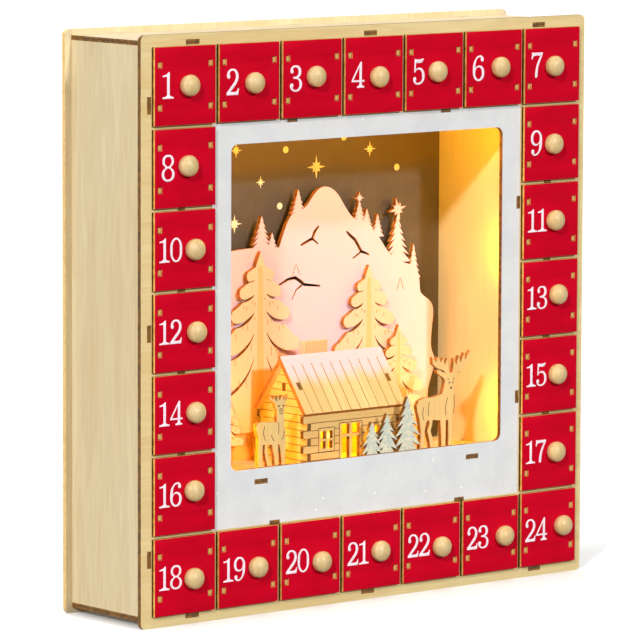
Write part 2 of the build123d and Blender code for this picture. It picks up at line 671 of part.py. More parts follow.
# Cabin walls: the ends of every second log of a long wall stand out past the gable
wall_top = roof_under(cabin_front) - BUTT_FIT
log_height = (wall_top - floor_top) / LOG_COURSES
long_wall_width = CABIN_LENGTH - 2 * PLY
log_end_width = CABIN_LENGTH + 2 * LOG_END
even_logs = [floor_top + log_height * (course + 0.5) for course in range(0, LOG_COURSES, 2)]
odd_logs = [floor_top + log_height * (course + 0.5) for course in range(1, LOG_COURSES, 2)]


def long_wall():
    """Draws a long wall of the cabin with its log ends and feet."""
    with Locations((CABIN_X, (floor_top + wall_top) / 2)):
        Rectangle(long_wall_width - 2 * BUTT_FIT, wall_top - floor_top)
    with Locations([(CABIN_X, z) for z in even_logs]):
        Rectangle(log_end_width, log_height - 2 * SLOT_FIT)
    for side in (-1, 1):
        foot_tab(CABIN_X + side * WALL_FOOT_SPREAD, FOOT_TAB)


with BuildPart() as cabin_front_wall:
    with BuildSketch(upright(cabin_front + PLY)):
        long_wall()
        for side in (-1, 1):
            with Locations((CABIN_X + side * CABIN_WINDOW_SPREAD, floor_top + CABIN_WINDOW_RISE)):
                with GridLocations(*PANE_PITCH, 2, 2):
                    Rectangle(*PANE, mode=Mode.SUBTRACT)
        for low, high in ((DOOR_SILL, DOOR_RAIL - RAIL_WIDTH / 2), (DOOR_RAIL + RAIL_WIDTH / 2, DOOR_HEAD)):
            with Locations((CABIN_X + DOOR_X, floor_top + (low + high) / 2)):
                with GridLocations(DOOR_PANE_PITCH, 1, 2, 1):
                    Rectangle(DOOR_PANE_WIDTH, high - low, mode=Mode.SUBTRACT)
    extrude(amount=PLY)
write(cabin_front_wall.part, "cabin_front_wall")

with BuildPart() as cabin_rear_wall:
    with BuildSketch(upright(cabin_back)):
        long_wall()
    extrude(amount=PLY)
write(cabin_rear_wall.part, "cabin_rear_wall")

# Gables, tabbed into the roof a little above the middle of each slope
gable_front = cabin_front + PLY + BUTT_FIT
gable_back = cabin_back - PLY - BUTT_FIT
tab_line = eave_front + ROOF_TAB_RUN
gable_outline = [
    (gable_front, floor_top),
    (gable_back, floor_top),
    (gable_back, roof_under(gable_back) - BUTT_FIT),
    (ridge_y, roof_under(ridge_y) - BUTT_FIT),
    (gable_front, roof_under(gable_front) - BUTT_FIT),
]
roof_tabs = []
for side in (-1, 1):
    roof_tabs.append((ridge_y + side * (ridge_y - tab_line), roof_under(tab_line), side))


def roof_tab(y, z, side, grow):
    """Draws the tab of a gable through the roof, square to the slope, or its slot where grow is set."""
    turn = -side * pitch * 180 / pi
    with Locations(Location((y, z, 0))):
        with Locations(Location((0, 0, 0), (0, 0, turn))):
            with Locations((0, -SEAT_FIT / 2)):
                Rectangle(ROOF_TAB + 2 * grow, 2 * PLY - SEAT_FIT + 2 * grow)


for name, side in (("cabin_left_gable", -1), ("cabin_right_gable", 1)):
    with BuildPart() as gable:
        with BuildSketch(Plane.YZ.offset(CABIN_X + side * gable_x - PLY / 2)):
            Polygon(*gable_outline, align=None)
            with Locations([((cabin_front + cabin_back) / 2, z) for z in odd_logs]):
                Rectangle(cabin_back - cabin_front, log_height - 2 * SLOT_FIT)
            with Locations((ridge_y, floor_top - PLY / 2)):
                Rectangle(FOOT_TAB, PLY)
            for y, z, slope in roof_tabs:
                roof_tab(y, z, slope, 0)
            with Locations((ridge_y, floor_top + ATTIC_RISE)):
                Rectangle(*ATTIC, mode=Mode.SUBTRACT)
        extrude(amount=PLY)
    write(gable.part, name)

# Roof boards, mitred at the ridge, with a slot for each gable's tab
roof_length = CABIN_LENGTH + 2 * ROOF_OVERHANG
eave_run = PLY * sin(pitch)
eave_drop = PLY * cos(pitch)
for name, side, eave in (("cabin_front_roof", -1, eave_front), ("cabin_rear_roof", 1, eave_back)):
    roof_outline = [
        (eave, eave_z),
        (ridge_y + side * BUTT_FIT, ridge_z),
        (ridge_y + side * BUTT_FIT, ridge_z - PLY / cos(pitch)),
        (eave - side * eave_run, eave_z - eave_drop),
    ]
    tab_y, tab_z, slope = roof_tabs[0 if side < 0 else 1]
    with BuildPart() as roof:
        with BuildSketch(Plane.YZ.offset(CABIN_X - roof_length / 2)):
            Polygon(*roof_outline, align=None)
        extrude(amount=roof_length)
        for gable_side in (-1, 1):
            slot_x = CABIN_X + gable_side * gable_x - PLY / 2 - SLOT_FIT
            with BuildSketch(Plane.YZ.offset(slot_x)):
                roof_tab(tab_y, tab_z, slope, SLOT_FIT)
            extrude(amount=PLY + 2 * SLOT_FIT, mode=Mode.SUBTRACT)
    write(roof.part, name)

# Chimney, standing on the rear slope just behind the ridge
chimney_near = ridge_y + CHIMNEY_SETBACK
chimney_far = chimney_near + CHIMNEY_DEPTH
chimney_outline = [
    (chimney_near, ridge_z - CHIMNEY_SETBACK * tan(pitch) + SEAT_FIT),
    (chimney_far, ridge_z - (CHIMNEY_SETBACK + CHIMNEY_DEPTH) * tan(pitch) + SEAT_FIT),
    (chimney_far, ridge_z + CHIMNEY_TOP),
    (chimney_near, ridge_z + CHIMNEY_TOP),
]
with BuildPart() as cabin_chimney:
    with BuildSketch(Plane.YZ.offset(CABIN_X + CHIMNEY_X - CHIMNEY_WIDTH / 2)):
        Polygon(*chimney_outline, align=None)
    extrude(amount=CHIMNEY_WIDTH)
write(cabin_chimney.part, "cabin_chimney")

# LED wire: from the battery box to the left of the window, over it and down its right
long_route = [
    (box_left, wire_back, box_z),
    (-wire_x, wire_back, box_z),
    (-wire_x, wire_y, box_z),
    (-wire_x, wire_y, wire_top),
    (wire_x, wire_y, wire_top),
    (wire_x, wire_y, wire_end),
]
cabin_route = [
    (CABIN_X, box_front, box_z),
    (CABIN_X, ridge_y, box_z),
    (CABIN_X, ridge_y, floor_top + CABIN_BULB_RISE),
]
wire_spans = []
for route in (long_route, cabin_route):
    with BuildPart() as wire_span:
        with BuildLine() as path:
            FilletPolyline(*route, radius=WIRE_BEND)
        with BuildSketch(Plane(origin=path.line @ 0, z_dir=path.line % 0)):
            Circle(WIRE_RADIUS)
        sweep(path=path.line)
    wire_spans.append(wire_span.part)
led_wire = Compound(label="led_wire", children=wire_spans)
write(led_wire, "led_wire")

# LED bulbs, threaded on the wire
upright_bulbs = [
    (side * wire_x, wire_y, floor_top + rise)
    for side in (-1, 1)
    for rise in (LOW_BULB_RISE, HIGH_BULB_RISE)
]
upright_bulbs.append((CABIN_X, ridge_y, floor_top + CABIN_BULB_RISE))
level_bulbs = [(step * TOP_BULB_SPREAD, wire_y, wire_top) for step in (-1, 0, 1)]
with BuildPart() as led_bulbs:
    for spots, along, across in (
        (upright_bulbs, (0, 0, 1), (1, 0, 0)),
        (level_bulbs, (1, 0, 0), (0, 0, -1)),
    ):
        for spot in spots:
            with BuildSketch(Plane(origin=spot, x_dir=(0, 1, 0), z_dir=across)):
                Circle(BULB_RADIUS)
                with Locations((WIRE_RADIUS + BUTT_FIT - BULB_RADIUS, 0)):
                    Rectangle(2 * BULB_RADIUS, 2 * BULB_RADIUS, mode=Mode.SUBTRACT)
            revolve(axis=Axis(spot, along))
write(led_bulbs.part, "led_bulbs")

# Battery box: open to the back, with a flange behind the panel, a cover recess and a switch slot
recess_left = -cover_length / 2 - COVER_FIT
recess_right = box_right - BOX_WALL
recess_height = box_height - 2 * COVER_LIP
switch_left = box_left + BOX_WALL
switch_right = recess_left - BOX_WALL
switch_x = (switch_left + switch_right) / 2
key_width, key_height = SWITCH_KEY
key_slot = key_width + SWITCH_TRAVEL + 2 * COVER_FIT
with BuildPart() as battery_box:
    with BuildSketch(upright(back_y)):
        with Locations((box_x, box_z)):
            Rectangle(box_length, box_height)
    extrude(amount=back_y - box_front)
    with BuildSketch(upright(inside_back)):
        with Locations((box_x, box_z)):
            Rectangle(box_length + 2 * FLANGE_LAP, box_height + 2 * FLANGE_LAP)
    extrude(amount=FLANGE_THICK)
    with BuildSketch(upright(back_y)):
        with Locations(((recess_left + recess_right) / 2, box_z)):
            Rectangle(recess_right - recess_left, recess_height)
        with Locations((switch_x, box_z)):
            Rectangle(switch_right - switch_left, recess_height)
    extrude(amount=back_y - recess_y, mode=Mode.SUBTRACT)
    with BuildSketch(upright(recess_y)):
        with Locations((0, box_z)):
            Rectangle(cell_bay, 2 * (CELL_RADIUS + CELL_FIT))
    extrude(amount=2 * (CELL_RADIUS + CELL_FIT), mode=Mode.SUBTRACT)
    with BuildSketch(upright(recess_y)):
        with Locations((switch_x, box_z)):
            Rectangle(key_slot, key_height + 2 * COVER_FIT)
    extrude(amount=SWITCH_DEPTH, mode=Mode.SUBTRACT)
write(battery_box.part, "battery_box")

with BuildPart() as battery_cover:
    with BuildSketch(upright(back_y)):
        with Locations((0, box_z)):
            Rectangle(cover_length, recess_height - 2 * COVER_FIT)
    extrude(amount=COVER_THICK)
    with BuildSketch(upright(back_y)):
        with Locations((cover_length / 4, box_z)):
            with GridLocations(GRIP_PITCH, 1, GRIP_GROOVES, 1):
                Rectangle(GRIP_WIDTH, recess_height / 2)
    extrude(amount=GRIP_DEPTH, mode=Mode.SUBTRACT)
write(battery_cover.part, "battery_cover")

# Contact plates with a boss that meets the cell, one at each end of the bay
boss = CONTACT_ROOM - CONTACT_PLATE - CONTACT_FIT
with BuildPart() as battery_contacts:
    for side in (-1, 1):
        wall = side * cell_bay / 2
        with BuildSketch(Plane(origin=(wall, cell_y, box_z), x_dir=(0, 1, 0), z_dir=(-side, 0, 0))):
            Rectangle(2 * CELL_RADIUS, 2 * CELL_RADIUS)
        extrude(amount=CONTACT_PLATE)
        with BuildSketch(Plane(origin=(wall, cell_y, box_z), x_dir=(0, 1, 0), z_dir=(-side, 0, 0))):
            Circle(CELL_RADIUS / 2)
        extrude(amount=CONTACT_PLATE + boss)
write(battery_contacts.part, "battery_contacts")

nub_radius, nub_length = CELL_NUB
cells_made = []
for step in (0, 1):
    start = -CELL_LENGTH + step * CELL_LENGTH
    with BuildPart() as battery_cell:
        with BuildSketch(Plane(origin=(start, cell_y, box_z), x_dir=(0, 1, 0), z_dir=(1, 0, 0))):
            Circle(CELL_RADIUS)
        extrude(amount=CELL_LENGTH - nub_length)
        with BuildSketch(Plane(origin=(start, cell_y, box_z), x_dir=(0, 1, 0), z_dir=(1, 0, 0))):
            Circle(nub_radius)
        extrude(amount=CELL_LENGTH)
    cells_made.append(battery_cell.part)
battery_cells = Compound(label="battery_cells", children=cells_made)
write(battery_cells, "battery_cells")

# Switch key at the off end of its slot
with BuildPart() as switch_key:
    with BuildSketch(upright(back_y - SWITCH_SUNK)):
        with Locations((switch_x - SWITCH_TRAVEL / 2, box_z)):
            Rectangle(key_width, key_height)
    extrude(amount=back_y - SWITCH_SUNK - recess_y + SWITCH_DEPTH)
write(switch_key.part, "switch_key")


def drawer(number, x, z):
    """Builds one drawer as a painted front, two sides, a back, a bottom and a knob."""
    knob_x, knob_z = KNOB_SPOTS[number - 1]
    tray_end = front_y + tray_depth
    inner_width = tray_width - 2 * PLY
    with BuildPart() as front:
        with BuildSketch(upright(front_y)):
            with Locations((x, z)):
                Rectangle(FRONT_WIDTH, FRONT_HEIGHT)
                with GridLocations(2 * tray_side_x, 2 * TRAY_TAB_RISE, 2, 2):
                    Rectangle(PLY + 2 * SLOT_FIT, TRAY_TAB + 2 * SLOT_FIT, mode=Mode.SUBTRACT)
            with Locations((x + knob_x, z + knob_z)):
                Circle(PEG_RADIUS + SLOT_FIT, mode=Mode.SUBTRACT)
        extrude(amount=PLY)
    sides = []
    for side in (-1, 1):
        with BuildPart() as tray_side:
            with BuildSketch(Plane.YZ.offset(x + side * tray_side_x - PLY / 2)):
                with Locations((front_y + tray_depth / 2, z + (tray_bottom + tray_top) / 2)):
                    Rectangle(tray_depth, tray_top - tray_bottom)
                with Locations((front_y, z - TRAY_TAB_RISE), (front_y, z + TRAY_TAB_RISE)):
                    Rectangle(2 * PLY, TRAY_TAB)
            extrude(amount=PLY)
        sides.append(tray_side.part)
    with BuildPart() as tray_floor:
        with BuildSketch(Plane.XY.offset(z + tray_bottom)):
            with Locations((x, front_y + tray_depth / 2)):
                Rectangle(inner_width, tray_depth)
        extrude(amount=PLY)
    with BuildPart() as tray_back:
        with BuildSketch(upright(tray_end)):
            with Locations((x, z + (tray_bottom + PLY + tray_top) / 2)):
                Rectangle(inner_width, tray_top - tray_bottom - PLY)
        extrude(amount=PLY)
    knob_place = (x + knob_x, front_y - PLY, z + knob_z)
    with BuildPart() as knob:
        with BuildSketch(Plane(knob_place, x_dir=(-1, 0, 0), z_dir=(0, 0, 1))):
            with BuildLine():
                Line((0, 0), (knob_foot, 0))
                CenterArc((0, KNOB_WAIST), KNOB_RADIUS, -knob_undercut, knob_undercut)
                CenterArc((shoulder_x, KNOB_WAIST), KNOB_SHOULDER, 0, shoulder_turn)
                CenterArc((0, knob_projection - knob_nose), knob_nose, shoulder_turn, 90 - shoulder_turn)
                Line((0, knob_projection), (0, 0))
            make_face()
        revolve(axis=Axis(knob_place, (0, -1, 0)))
        with BuildSketch(upright(front_y)):
            with Locations((x + knob_x, z + knob_z)):
                Circle(PEG_RADIUS)
        extrude(amount=PLY)
    return Compound(children=[front.part, *sides, tray_floor.part, tray_back.part, knob.part])


for number, (x, z) in enumerate(cells, start=1):
    write(drawer(number, x, z), f"drawer_{number:02d}")
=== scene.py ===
"""Wooden advent calendar with a lit snow scene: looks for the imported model."""
from math import asin, atan2, cos, pi, radians, sin

import bmesh
import bpy
from mathutils import Matrix, Vector


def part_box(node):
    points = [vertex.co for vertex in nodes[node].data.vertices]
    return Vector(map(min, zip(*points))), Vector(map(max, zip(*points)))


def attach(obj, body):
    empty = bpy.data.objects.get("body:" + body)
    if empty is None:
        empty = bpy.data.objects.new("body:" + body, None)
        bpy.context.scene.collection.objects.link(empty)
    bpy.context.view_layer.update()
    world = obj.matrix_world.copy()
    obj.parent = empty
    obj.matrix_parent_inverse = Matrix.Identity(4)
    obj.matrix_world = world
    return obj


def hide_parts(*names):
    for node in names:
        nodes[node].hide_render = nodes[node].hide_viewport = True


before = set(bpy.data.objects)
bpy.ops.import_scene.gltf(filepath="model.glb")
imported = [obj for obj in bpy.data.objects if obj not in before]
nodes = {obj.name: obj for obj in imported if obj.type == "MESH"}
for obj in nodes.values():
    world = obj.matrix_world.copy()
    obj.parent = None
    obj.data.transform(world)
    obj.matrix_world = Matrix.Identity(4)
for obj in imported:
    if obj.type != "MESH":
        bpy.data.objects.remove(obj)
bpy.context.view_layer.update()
scene = bpy.context.scene

# Sizes repeated from the model's source, in millimetres
MM = 0.001
PLY = 2.5
MIDDLE_Z = 150.0
FRONT_Y = -28.2
FACE_Y = FRONT_Y - PLY
WIRE_Y = FRONT_Y + 4.9
DEER_Y = FRONT_Y + 6.7
EAVE_Y = FRONT_Y + 10.0
CABIN_FRONT_Y = FRONT_Y + 12.0
RIDGE_Y = FRONT_Y + 31.1
NEAR_TREES_Y = FRONT_Y + 49.5
TREES_Y = FRONT_Y + 53.0
MOUNTAIN_Y = FRONT_Y + 56.5
SKY_Y = FRONT_Y + 62.5
FLOOR_Z = 70.0
CHAMBER_HALF = 102.25
CHAMBER_TOP = 252.25
EAVE_Z = 99.0
RIDGE_Z = 127.2
GABLE_X = 31.5
PITCH = 41.4
FRONT_WIDTH = 38.9
FRONT_HEIGHT = 39.5
DRAWER_SHIFT = 0.6
TRAY_WIDTH = 34.9
TRAY_DEPTH = 52.0
TRAY_BOTTOM = -17.75
TRAY_TOP = 16.25
TAB_X = 16.2
TAB_Z = 10.7
TAB_HEIGHT = 3.0
KNOB_RADIUS = 5.45
KNOB_WAIST = 2.4
KNOB_CROWN = 3.7
KNOB_SHOULDER = 2.6
PAINT_HALF = 104.4
PAINT_LOW = 46.3
PAINT_HIGH = 253.7
ROOF_PITCH = atan2(RIDGE_Z - EAVE_Z, RIDGE_Y - EAVE_Y)
WIRE_X = 98.05
WIRE_TOP = 248.05
CELL_LENGTH = 44.5

X_AXIS = (1.0, 0.0, 0.0)
Y_AXIS = (0.0, 1.0, 0.0)
Z_AXIS = (0.0, 0.0, 1.0)
FORWARD = (0.0, -1.0, 0.0)
BUMP_STRENGTH = 0.5


def rgb(red, green, blue):
    """Linear colour from the 0 to 255 values of a screen colour."""
    shares = [value / 255 for value in (red, green, blue)]
    linear = [share / 12.92 if share <= 0.04045 else ((share + 0.055) / 1.055) ** 2.4 for share in shares]
    return (*linear, 1.0)


class Look:
    """One material, with short calls that add and wire its nodes.

    place is where a point is in its own piece, in millimetres, with x, y and z.
    """

    def __init__(self, name):
        self.material = bpy.data.materials.new(name)
        self.material.use_nodes = True
        self.tree = self.material.node_tree
        self.surface = self.tree.nodes["Principled BSDF"]
        own = self.node("TexCoord", {}).outputs["Object"]
        self.place = self.vector("MULTIPLY", own, (1 / MM, 1 / MM, 1 / MM))
        self.x, self.y, self.z = self.split(self.place)

    def node(self, kind, inputs, **settings):
        made = self.tree.nodes.new(f"ShaderNode{kind}")
        for name, value in settings.items():
            setattr(made, name, value)
        for name, value in inputs.items():
            self.feed(made.inputs[name], value)
        return made

    def feed(self, socket, value):
        if isinstance(value, bpy.types.NodeSocket):
            self.tree.links.new(value, socket)
        else:
            socket.default_value = value

    def math(self, operation, first, second=0.0):
        return self.node("Math", {0: first, 1: second}, operation=operation).outputs[0]

    def times(self, first, second):
        return self.math("MULTIPLY", first, second)

    def vector(self, operation, first, second):
        return self.node("VectorMath", {0: first, 1: second}, operation=operation).outputs[0]

    def dot(self, first, second):
        made = self.node("VectorMath", {0: first, 1: second}, operation="DOT_PRODUCT")
        return made.outputs["Value"]

    def join(self, x, y, z):
        return self.node("CombineXYZ", {0: x, 1: y, 2: z}).outputs[0]

    def split(self, value):
        return self.node("SeparateXYZ", {0: value}).outputs

    def noise(self, scale, detail=3.0, rough=0.6, place=None):
        """Soft noise; scale is how fine it is, one number or one for each axis."""
        place = place or self.place
        if isinstance(scale, tuple):
            place = self.vector("MULTIPLY", place, scale)
            scale = 1.0
        inputs = {"Vector": place, "Scale": scale, "Detail": detail, "Roughness": rough}
        return self.node("TexNoise", inputs).outputs[0]

    def ease(self, value, low, high, start=0.0, end=1.0):
        """Goes smoothly from start to end while value goes from low to high."""
        inputs = {"Value": value, "From Min": low, "From Max": high, "To Min": start, "To Max": end}
        return self.node("MapRange", inputs, interpolation_type="SMOOTHSTEP").outputs[0]

    def mix(self, share, first, second, blend="MIX"):
        made = self.node("Mix", {}, data_type="RGBA", blend_type=blend)
        self.feed(made.inputs[0], share)
        self.feed(made.inputs[6], first)
        self.feed(made.inputs[7], second)
        return made.outputs[2]

    def stain(self, tone, colour, value, low, high, most=1.0):
        """Lays a colour on a tone as value goes from low to high, up to a share of most."""
        return self.mix(self.ease(value, low, high, 0.0, most), tone, colour)

    def facing(self, axis):
        """How squarely a face looks along an axis, from -1 to 1."""
        return self.dot(self.node("NewGeometry", {}).outputs["Normal"], axis)

    def spread(self, most):
        """A number from 0 to most that differs from piece to piece."""
        return self.times(self.node("ObjectInfo", {}).outputs["Random"], most)

    def finish(self, colour, rough, height=None, depth=0.02):
        """Ends the material; depth is how deep its bumps are, in millimetres."""
        self.feed(self.surface.inputs["Base Color"], colour)
        self.feed(self.surface.inputs["Roughness"], rough)
        if height is not None:
            inputs = {"Height": height, "Distance": depth * MM, "Strength": BUMP_STRENGTH}
            bump = self.node("Bump", inputs)
            self.feed(self.surface.inputs["Normal"], bump.outputs[0])
        return self.material


# Colours of the wood and paint
WOOD_LIGHT = rgb(229, 212, 172)
WOOD_MIDDLE = rgb(220, 197, 152)
WOOD_DARK = rgb(198, 167, 116)
FLECK = rgb(176, 134, 78)
BURNT_DARK = rgb(76, 48, 8)
BURNT_LIGHT = rgb(142, 94, 22)
SCORCHED = rgb(214, 132, 50)
WASH = rgb(236, 230, 222)
RED = rgb(198, 2, 34)
RED_DEEP = rgb(190, 2, 30)
RED_STREAK = rgb(204, 10, 42)
SNOW_WHITE = rgb(224, 224, 223)
SNOW_GREY = rgb(213, 213, 213)
GLITTER_WHITE = (0.97, 0.97, 0.98, 1.0)
GLITTER_GREY = rgb(176, 180, 188)
FLAKE_WHITE = (0.98, 0.98, 0.98, 1.0)
ROOF_RIDGE_WHITE = rgb(234, 198, 213)
SKY_DARK = rgb(73, 62, 49)
SKY_PALE = rgb(84, 72, 58)
# Painted warm LED light at the top of the sky, above the shadow of the window's top edge
SKY_GLOW = rgb(96, 76, 28)
# Painted shade on the sides of the tab ends, standing in for the shaded slots round the tabs
TAB_RIM_SHADE = rgb(116, 50, 26)
KNOB_RING = rgb(180, 142, 86)
KNOB_WARM = rgb(206, 175, 114)
CELL_WEAR = rgb(96, 92, 88)

# Pairs of colours that mix on a surface
FROST = (rgb(190, 198, 184), rgb(228, 220, 186))
FRONT_EDGE = (rgb(204, 148, 66), rgb(236, 190, 108))
# The next pair is painted shade for the rear of a drawer front's cut edges, next to the front panel
FRONT_EDGE_SHADE = (rgb(66, 36, 10), rgb(120, 76, 24))
TAB_END = (rgb(226, 178, 104), rgb(196, 142, 72))
KNOB_WOOD = (rgb(211, 187, 137), rgb(200, 171, 116))
CELL_SLEEVE = (rgb(38, 40, 44), rgb(176, 120, 52))
LED_GLOW = ((1.0, 0.62, 0.2, 1.0), (1.0, 0.78, 0.38, 1.0))

# Finishes of a cut edge: colours of its dark and light plies
CHARRED = (BURNT_DARK, BURNT_LIGHT)
AMBER = (BURNT_LIGHT, SCORCHED)
BARE = (rgb(234, 190, 116), rgb(252, 218, 148))
PALE = (rgb(232, 206, 186), rgb(240, 216, 198))

# Tints of the wood where one board is yellower or paler than the next; the amber tints of the deer and the
# cabin walls also hold painted warm LED light
PLAIN = (1.0, 1.0, 1.0, 1.0)
FRONT_TINT = (0.97, 0.93, 0.74, 1.0)
WALL_TINT = (0.96, 0.88, 0.54, 1.0)
STAG_TINT = (1.14, 0.91, 0.56, 1.0)
FAWN_TINT = (0.98, 0.85, 0.55, 1.0)
CABIN_TINT = (1.0, 0.8, 0.45, 1.0)
GABLE_TINT = (1.0, 0.89, 0.47, 1.0)
ROOF_TINT = (1.0, 0.84, 0.62, 1.0)
MOUNTAIN_TINT = (1.0, 0.72, 0.89, 1.0)
PINE_TINT = (1.0, 0.77, 0.6, 1.0)
CHIMNEY_TINT = (1.0, 0.6, 0.33, 1.0)

# Painted warm LED light: amber tints that two boards take on towards the scene floor, near the LED drops
# at the sides
FOOT_GLOW_TINTS = {"mountain": (1.0, 0.5, 0.06, 1.0), "left_pine": (0.96, 0.6, 0.16, 1.0)}

# Heights between which a colour fades into the next, in millimetres
FOOT_GLOW_FADE = (76.0, 112.0)
SKY_GLOW_FADE = (212.0, 226.0)
RIDGE_WHITE_FADE = (117.0, 126.0)

# Whitening of the roof towards its ridge: height of its streaks, in millimetres, and its greatest share
RIDGE_WHITE_STREAK = 13.0
RIDGE_WHITE_MOST = 0.88

# Grain: fineness along and across it, share of the seed, detail and roughness; then counts of rings
FIBRES = (0.035, 1.1, 1.0, 4.0, 0.6)
FIGURE = (0.008, 0.075, 1.7, 3.0, 0.55)
FLECKS = (0.28, 2.4, 2.3, 2.0, 0.5)
VENEER_RINGS = 7.0
KNOB_RINGS = 6.0

# How far the grain shifts from one drawer to the next, in millimetres
FRONT_LOT = 400.0
TRAY_LOT = 300.0
KNOB_LOT = 200.0


def grain_noise(look, grain, seed, lengthwise, crosswise, seed_share, detail, rough):
    """Noise drawn out along a grain, whose places are along, across and through the veneer."""
    moved = look.vector("ADD", grain, (0.0, 0.0, seed * seed_share))
    return look.noise((lengthwise, crosswise, 1.0), detail, rough, moved)


def rings(look, value, count):
    """Cuts a value into a count of bands and gives how far it is from the middle of its band."""
    part = look.math("FRACT", look.times(value, count))
    return look.math("ABSOLUTE", look.math("SUBTRACT", part, 0.5))


def wood_face(look, grain, seed):
    """Colour, roughness and fine height of a veneered face."""
    fibre = grain_noise(look, grain, seed, *FIBRES)
    figure = grain_noise(look, grain, seed, *FIGURE)
    fleck = look.ease(grain_noise(look, grain, seed, *FLECKS), 0.66, 0.78)
    tone = look.stain(WOOD_LIGHT, WOOD_MIDDLE, figure, 0.3, 0.72)
    tone = look.stain(tone, WOOD_DARK, rings(look, figure, VENEER_RINGS), 0.1, 0.42, 0.16)
    tone = look.stain(tone, WOOD_DARK, fibre, 0.35, 0.75, 0.22)
    tone = look.mix(look.times(fleck, 0.3), tone, FLECK)
    rough = look.ease(fibre, 0.2, 0.8, 0.5, 0.68)
    height = look.math("SUBTRACT", fibre, look.times(fleck, 0.4))
    return tone, rough, height


def cut_edge(look, through, finish):
    """Colour of a cut edge between the two colours of its finish, its middle ply a little darker."""
    plies = look.ease(look.math("ABSOLUTE", through), 0.36, 0.46)
    mottle = look.ease(look.noise(0.35), 0.3, 0.72)
    return look.mix(look.times(mottle, look.math("ADD", plies, 0.45)), *finish)


class Board(Look):
    """Plywood: across is its thin axis, along its grain, and middle where its middle plane lies.

    fold takes two boards that mirror each other as one, and lot shifts the grain from piece to
    piece by up to so much.
    """

    def __init__(self, name, across, along, middle, seed, finish, fold=False, lot=None):
        super().__init__(name)
        through = self.dot(self.place, across)
        if fold:
            through = self.math("ABSOLUTE", through)
        self.through = self.math("SUBTRACT", through, middle)
        lengthwise = self.dot(self.place, along)
        crosswise = self.dot(self.place, tuple(Vector(across).cross(Vector(along))))
        if lot:
            shift = self.spread(lot)
            lengthwise = self.math("ADD", lengthwise, shift)
            crosswise = self.math("ADD", crosswise, shift)
        grain = self.join(lengthwise, crosswise, self.through)
        self.face, self.rough, self.height = wood_face(self, grain, seed)
        self.edge = cut_edge(self, self.through, finish)
        self.face_share = self.ease(self.math("ABSOLUTE", self.facing(across)), 0.55, 0.75)

    def tint(self, colour):
        self.face = self.mix(1.0, self.face, colour, "MULTIPLY")

    def paint(self, share, colour):
        self.face = self.mix(share, self.face, colour)

    def done(self):
        return self.finish(self.mix(self.face_share, self.edge, self.face), self.rough, self.height)


def board_middle(node, axis):
    """Where a board's middle plane is along an axis, in millimetres."""
    low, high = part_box(node)
    return (Vector(low) + Vector(high)).dot(Vector(axis)) / 2 / MM


def plywood(seed, node, across, along, finish=CHARRED, tint=PLAIN, wash=0.0):
    """Look of one of the model's boards; wash is how much thin white paint covers its faces."""
    board = Board(f"{node}_plywood", across, along, board_middle(node, across), seed, finish)
    if wash:
        cloud = board.noise(0.05)
        board.paint(board.ease(cloud, 0.2, 0.8, wash - 0.08, wash + 0.04), WASH)
    # Painted LED light: these boards turn amber towards the scene floor
    if node in FOOT_GLOW_TINTS:
        tint = board.stain(FOOT_GLOW_TINTS[node], tint, board.z, *FOOT_GLOW_FADE)
    board.tint(tint)
    return board.done()


def inside(look, value, low, high, soft):
    """1 between low and high, falling to 0 over a soft border."""
    rise = look.ease(value, low - soft, low + soft)
    fall = look.ease(value, high - soft, high + soft, 1.0, 0.0)
    return look.times(rise, fall)


def painted_zone(look, half_width, low, high, face_y, soft):
    """1 on a rectangle of a face that looks forward at face_y, and 0 on the rest of its board."""
    wide = inside(look, look.x, -half_width, half_width, soft)
    tall = inside(look, look.z, low, high, soft)
    near = look.ease(look.y, face_y + 0.2, face_y + 0.3, 1.0, 0.0)
    return look.times(look.times(wide, tall), near)


def specks(look, scale, near, far):
    """Scattered spots: 1 at the middle of each, 0 away from it, and a number of its own for each."""
    cells = look.node("TexVoronoi", {"Vector": look.place, "Scale": scale})
    chance = look.split(cells.outputs["Color"])[0]
    return look.ease(cells.outputs["Distance"], near, far, 1.0, 0.0), chance


def glitter(look):
    """Colour and roughness of white paint with fine glitter and a few flakes in it."""
    speck, chance = specks(look, 1.7, 0.12, 0.34)
    bright = look.times(speck, look.math("GREATER_THAN", chance, 0.8))
    dark = look.times(speck, look.math("LESS_THAN", chance, 0.2))
    flake, flake_chance = specks(look, 0.2, 0.1, 0.14)
    flake = look.times(flake, look.math("GREATER_THAN", flake_chance, 0.86))
    cloud = look.noise(0.06, 4.0)
    grain = look.noise(2.2, 2.0)
    tone = look.stain(SNOW_WHITE, SNOW_GREY, cloud, 0.3, 0.75)
    tone = look.mix(look.times(grain, 0.25), tone, SNOW_GREY)
    tone = look.mix(bright, tone, GLITTER_WHITE)
    tone = look.mix(look.times(dark, 0.55), tone, GLITTER_GREY)
    tone = look.mix(flake, tone, FLAKE_WHITE)
    return tone, look.ease(bright, 0.0, 1.0, 0.62, 0.18)


def front_panel_look():
    """Natural plywood round the drawers and glittering white paint round the window."""
    middle = board_middle("front_panel", Y_AXIS)
    board = Board("front_plywood", Y_AXIS, X_AXIS, middle, 3.0, CHARRED)
    board.tint(FRONT_TINT)
    paint, paint_rough = glitter(board)
    zone = painted_zone(board, PAINT_HALF, PAINT_LOW, PAINT_HIGH, FRONT_Y, 0.12)
    board.paint(zone, paint)
    extra_rough = board.math("SUBTRACT", paint_rough, board.rough)
    board.rough = board.math("ADD", board.times(extra_rough, zone), board.rough)
    return board.done()


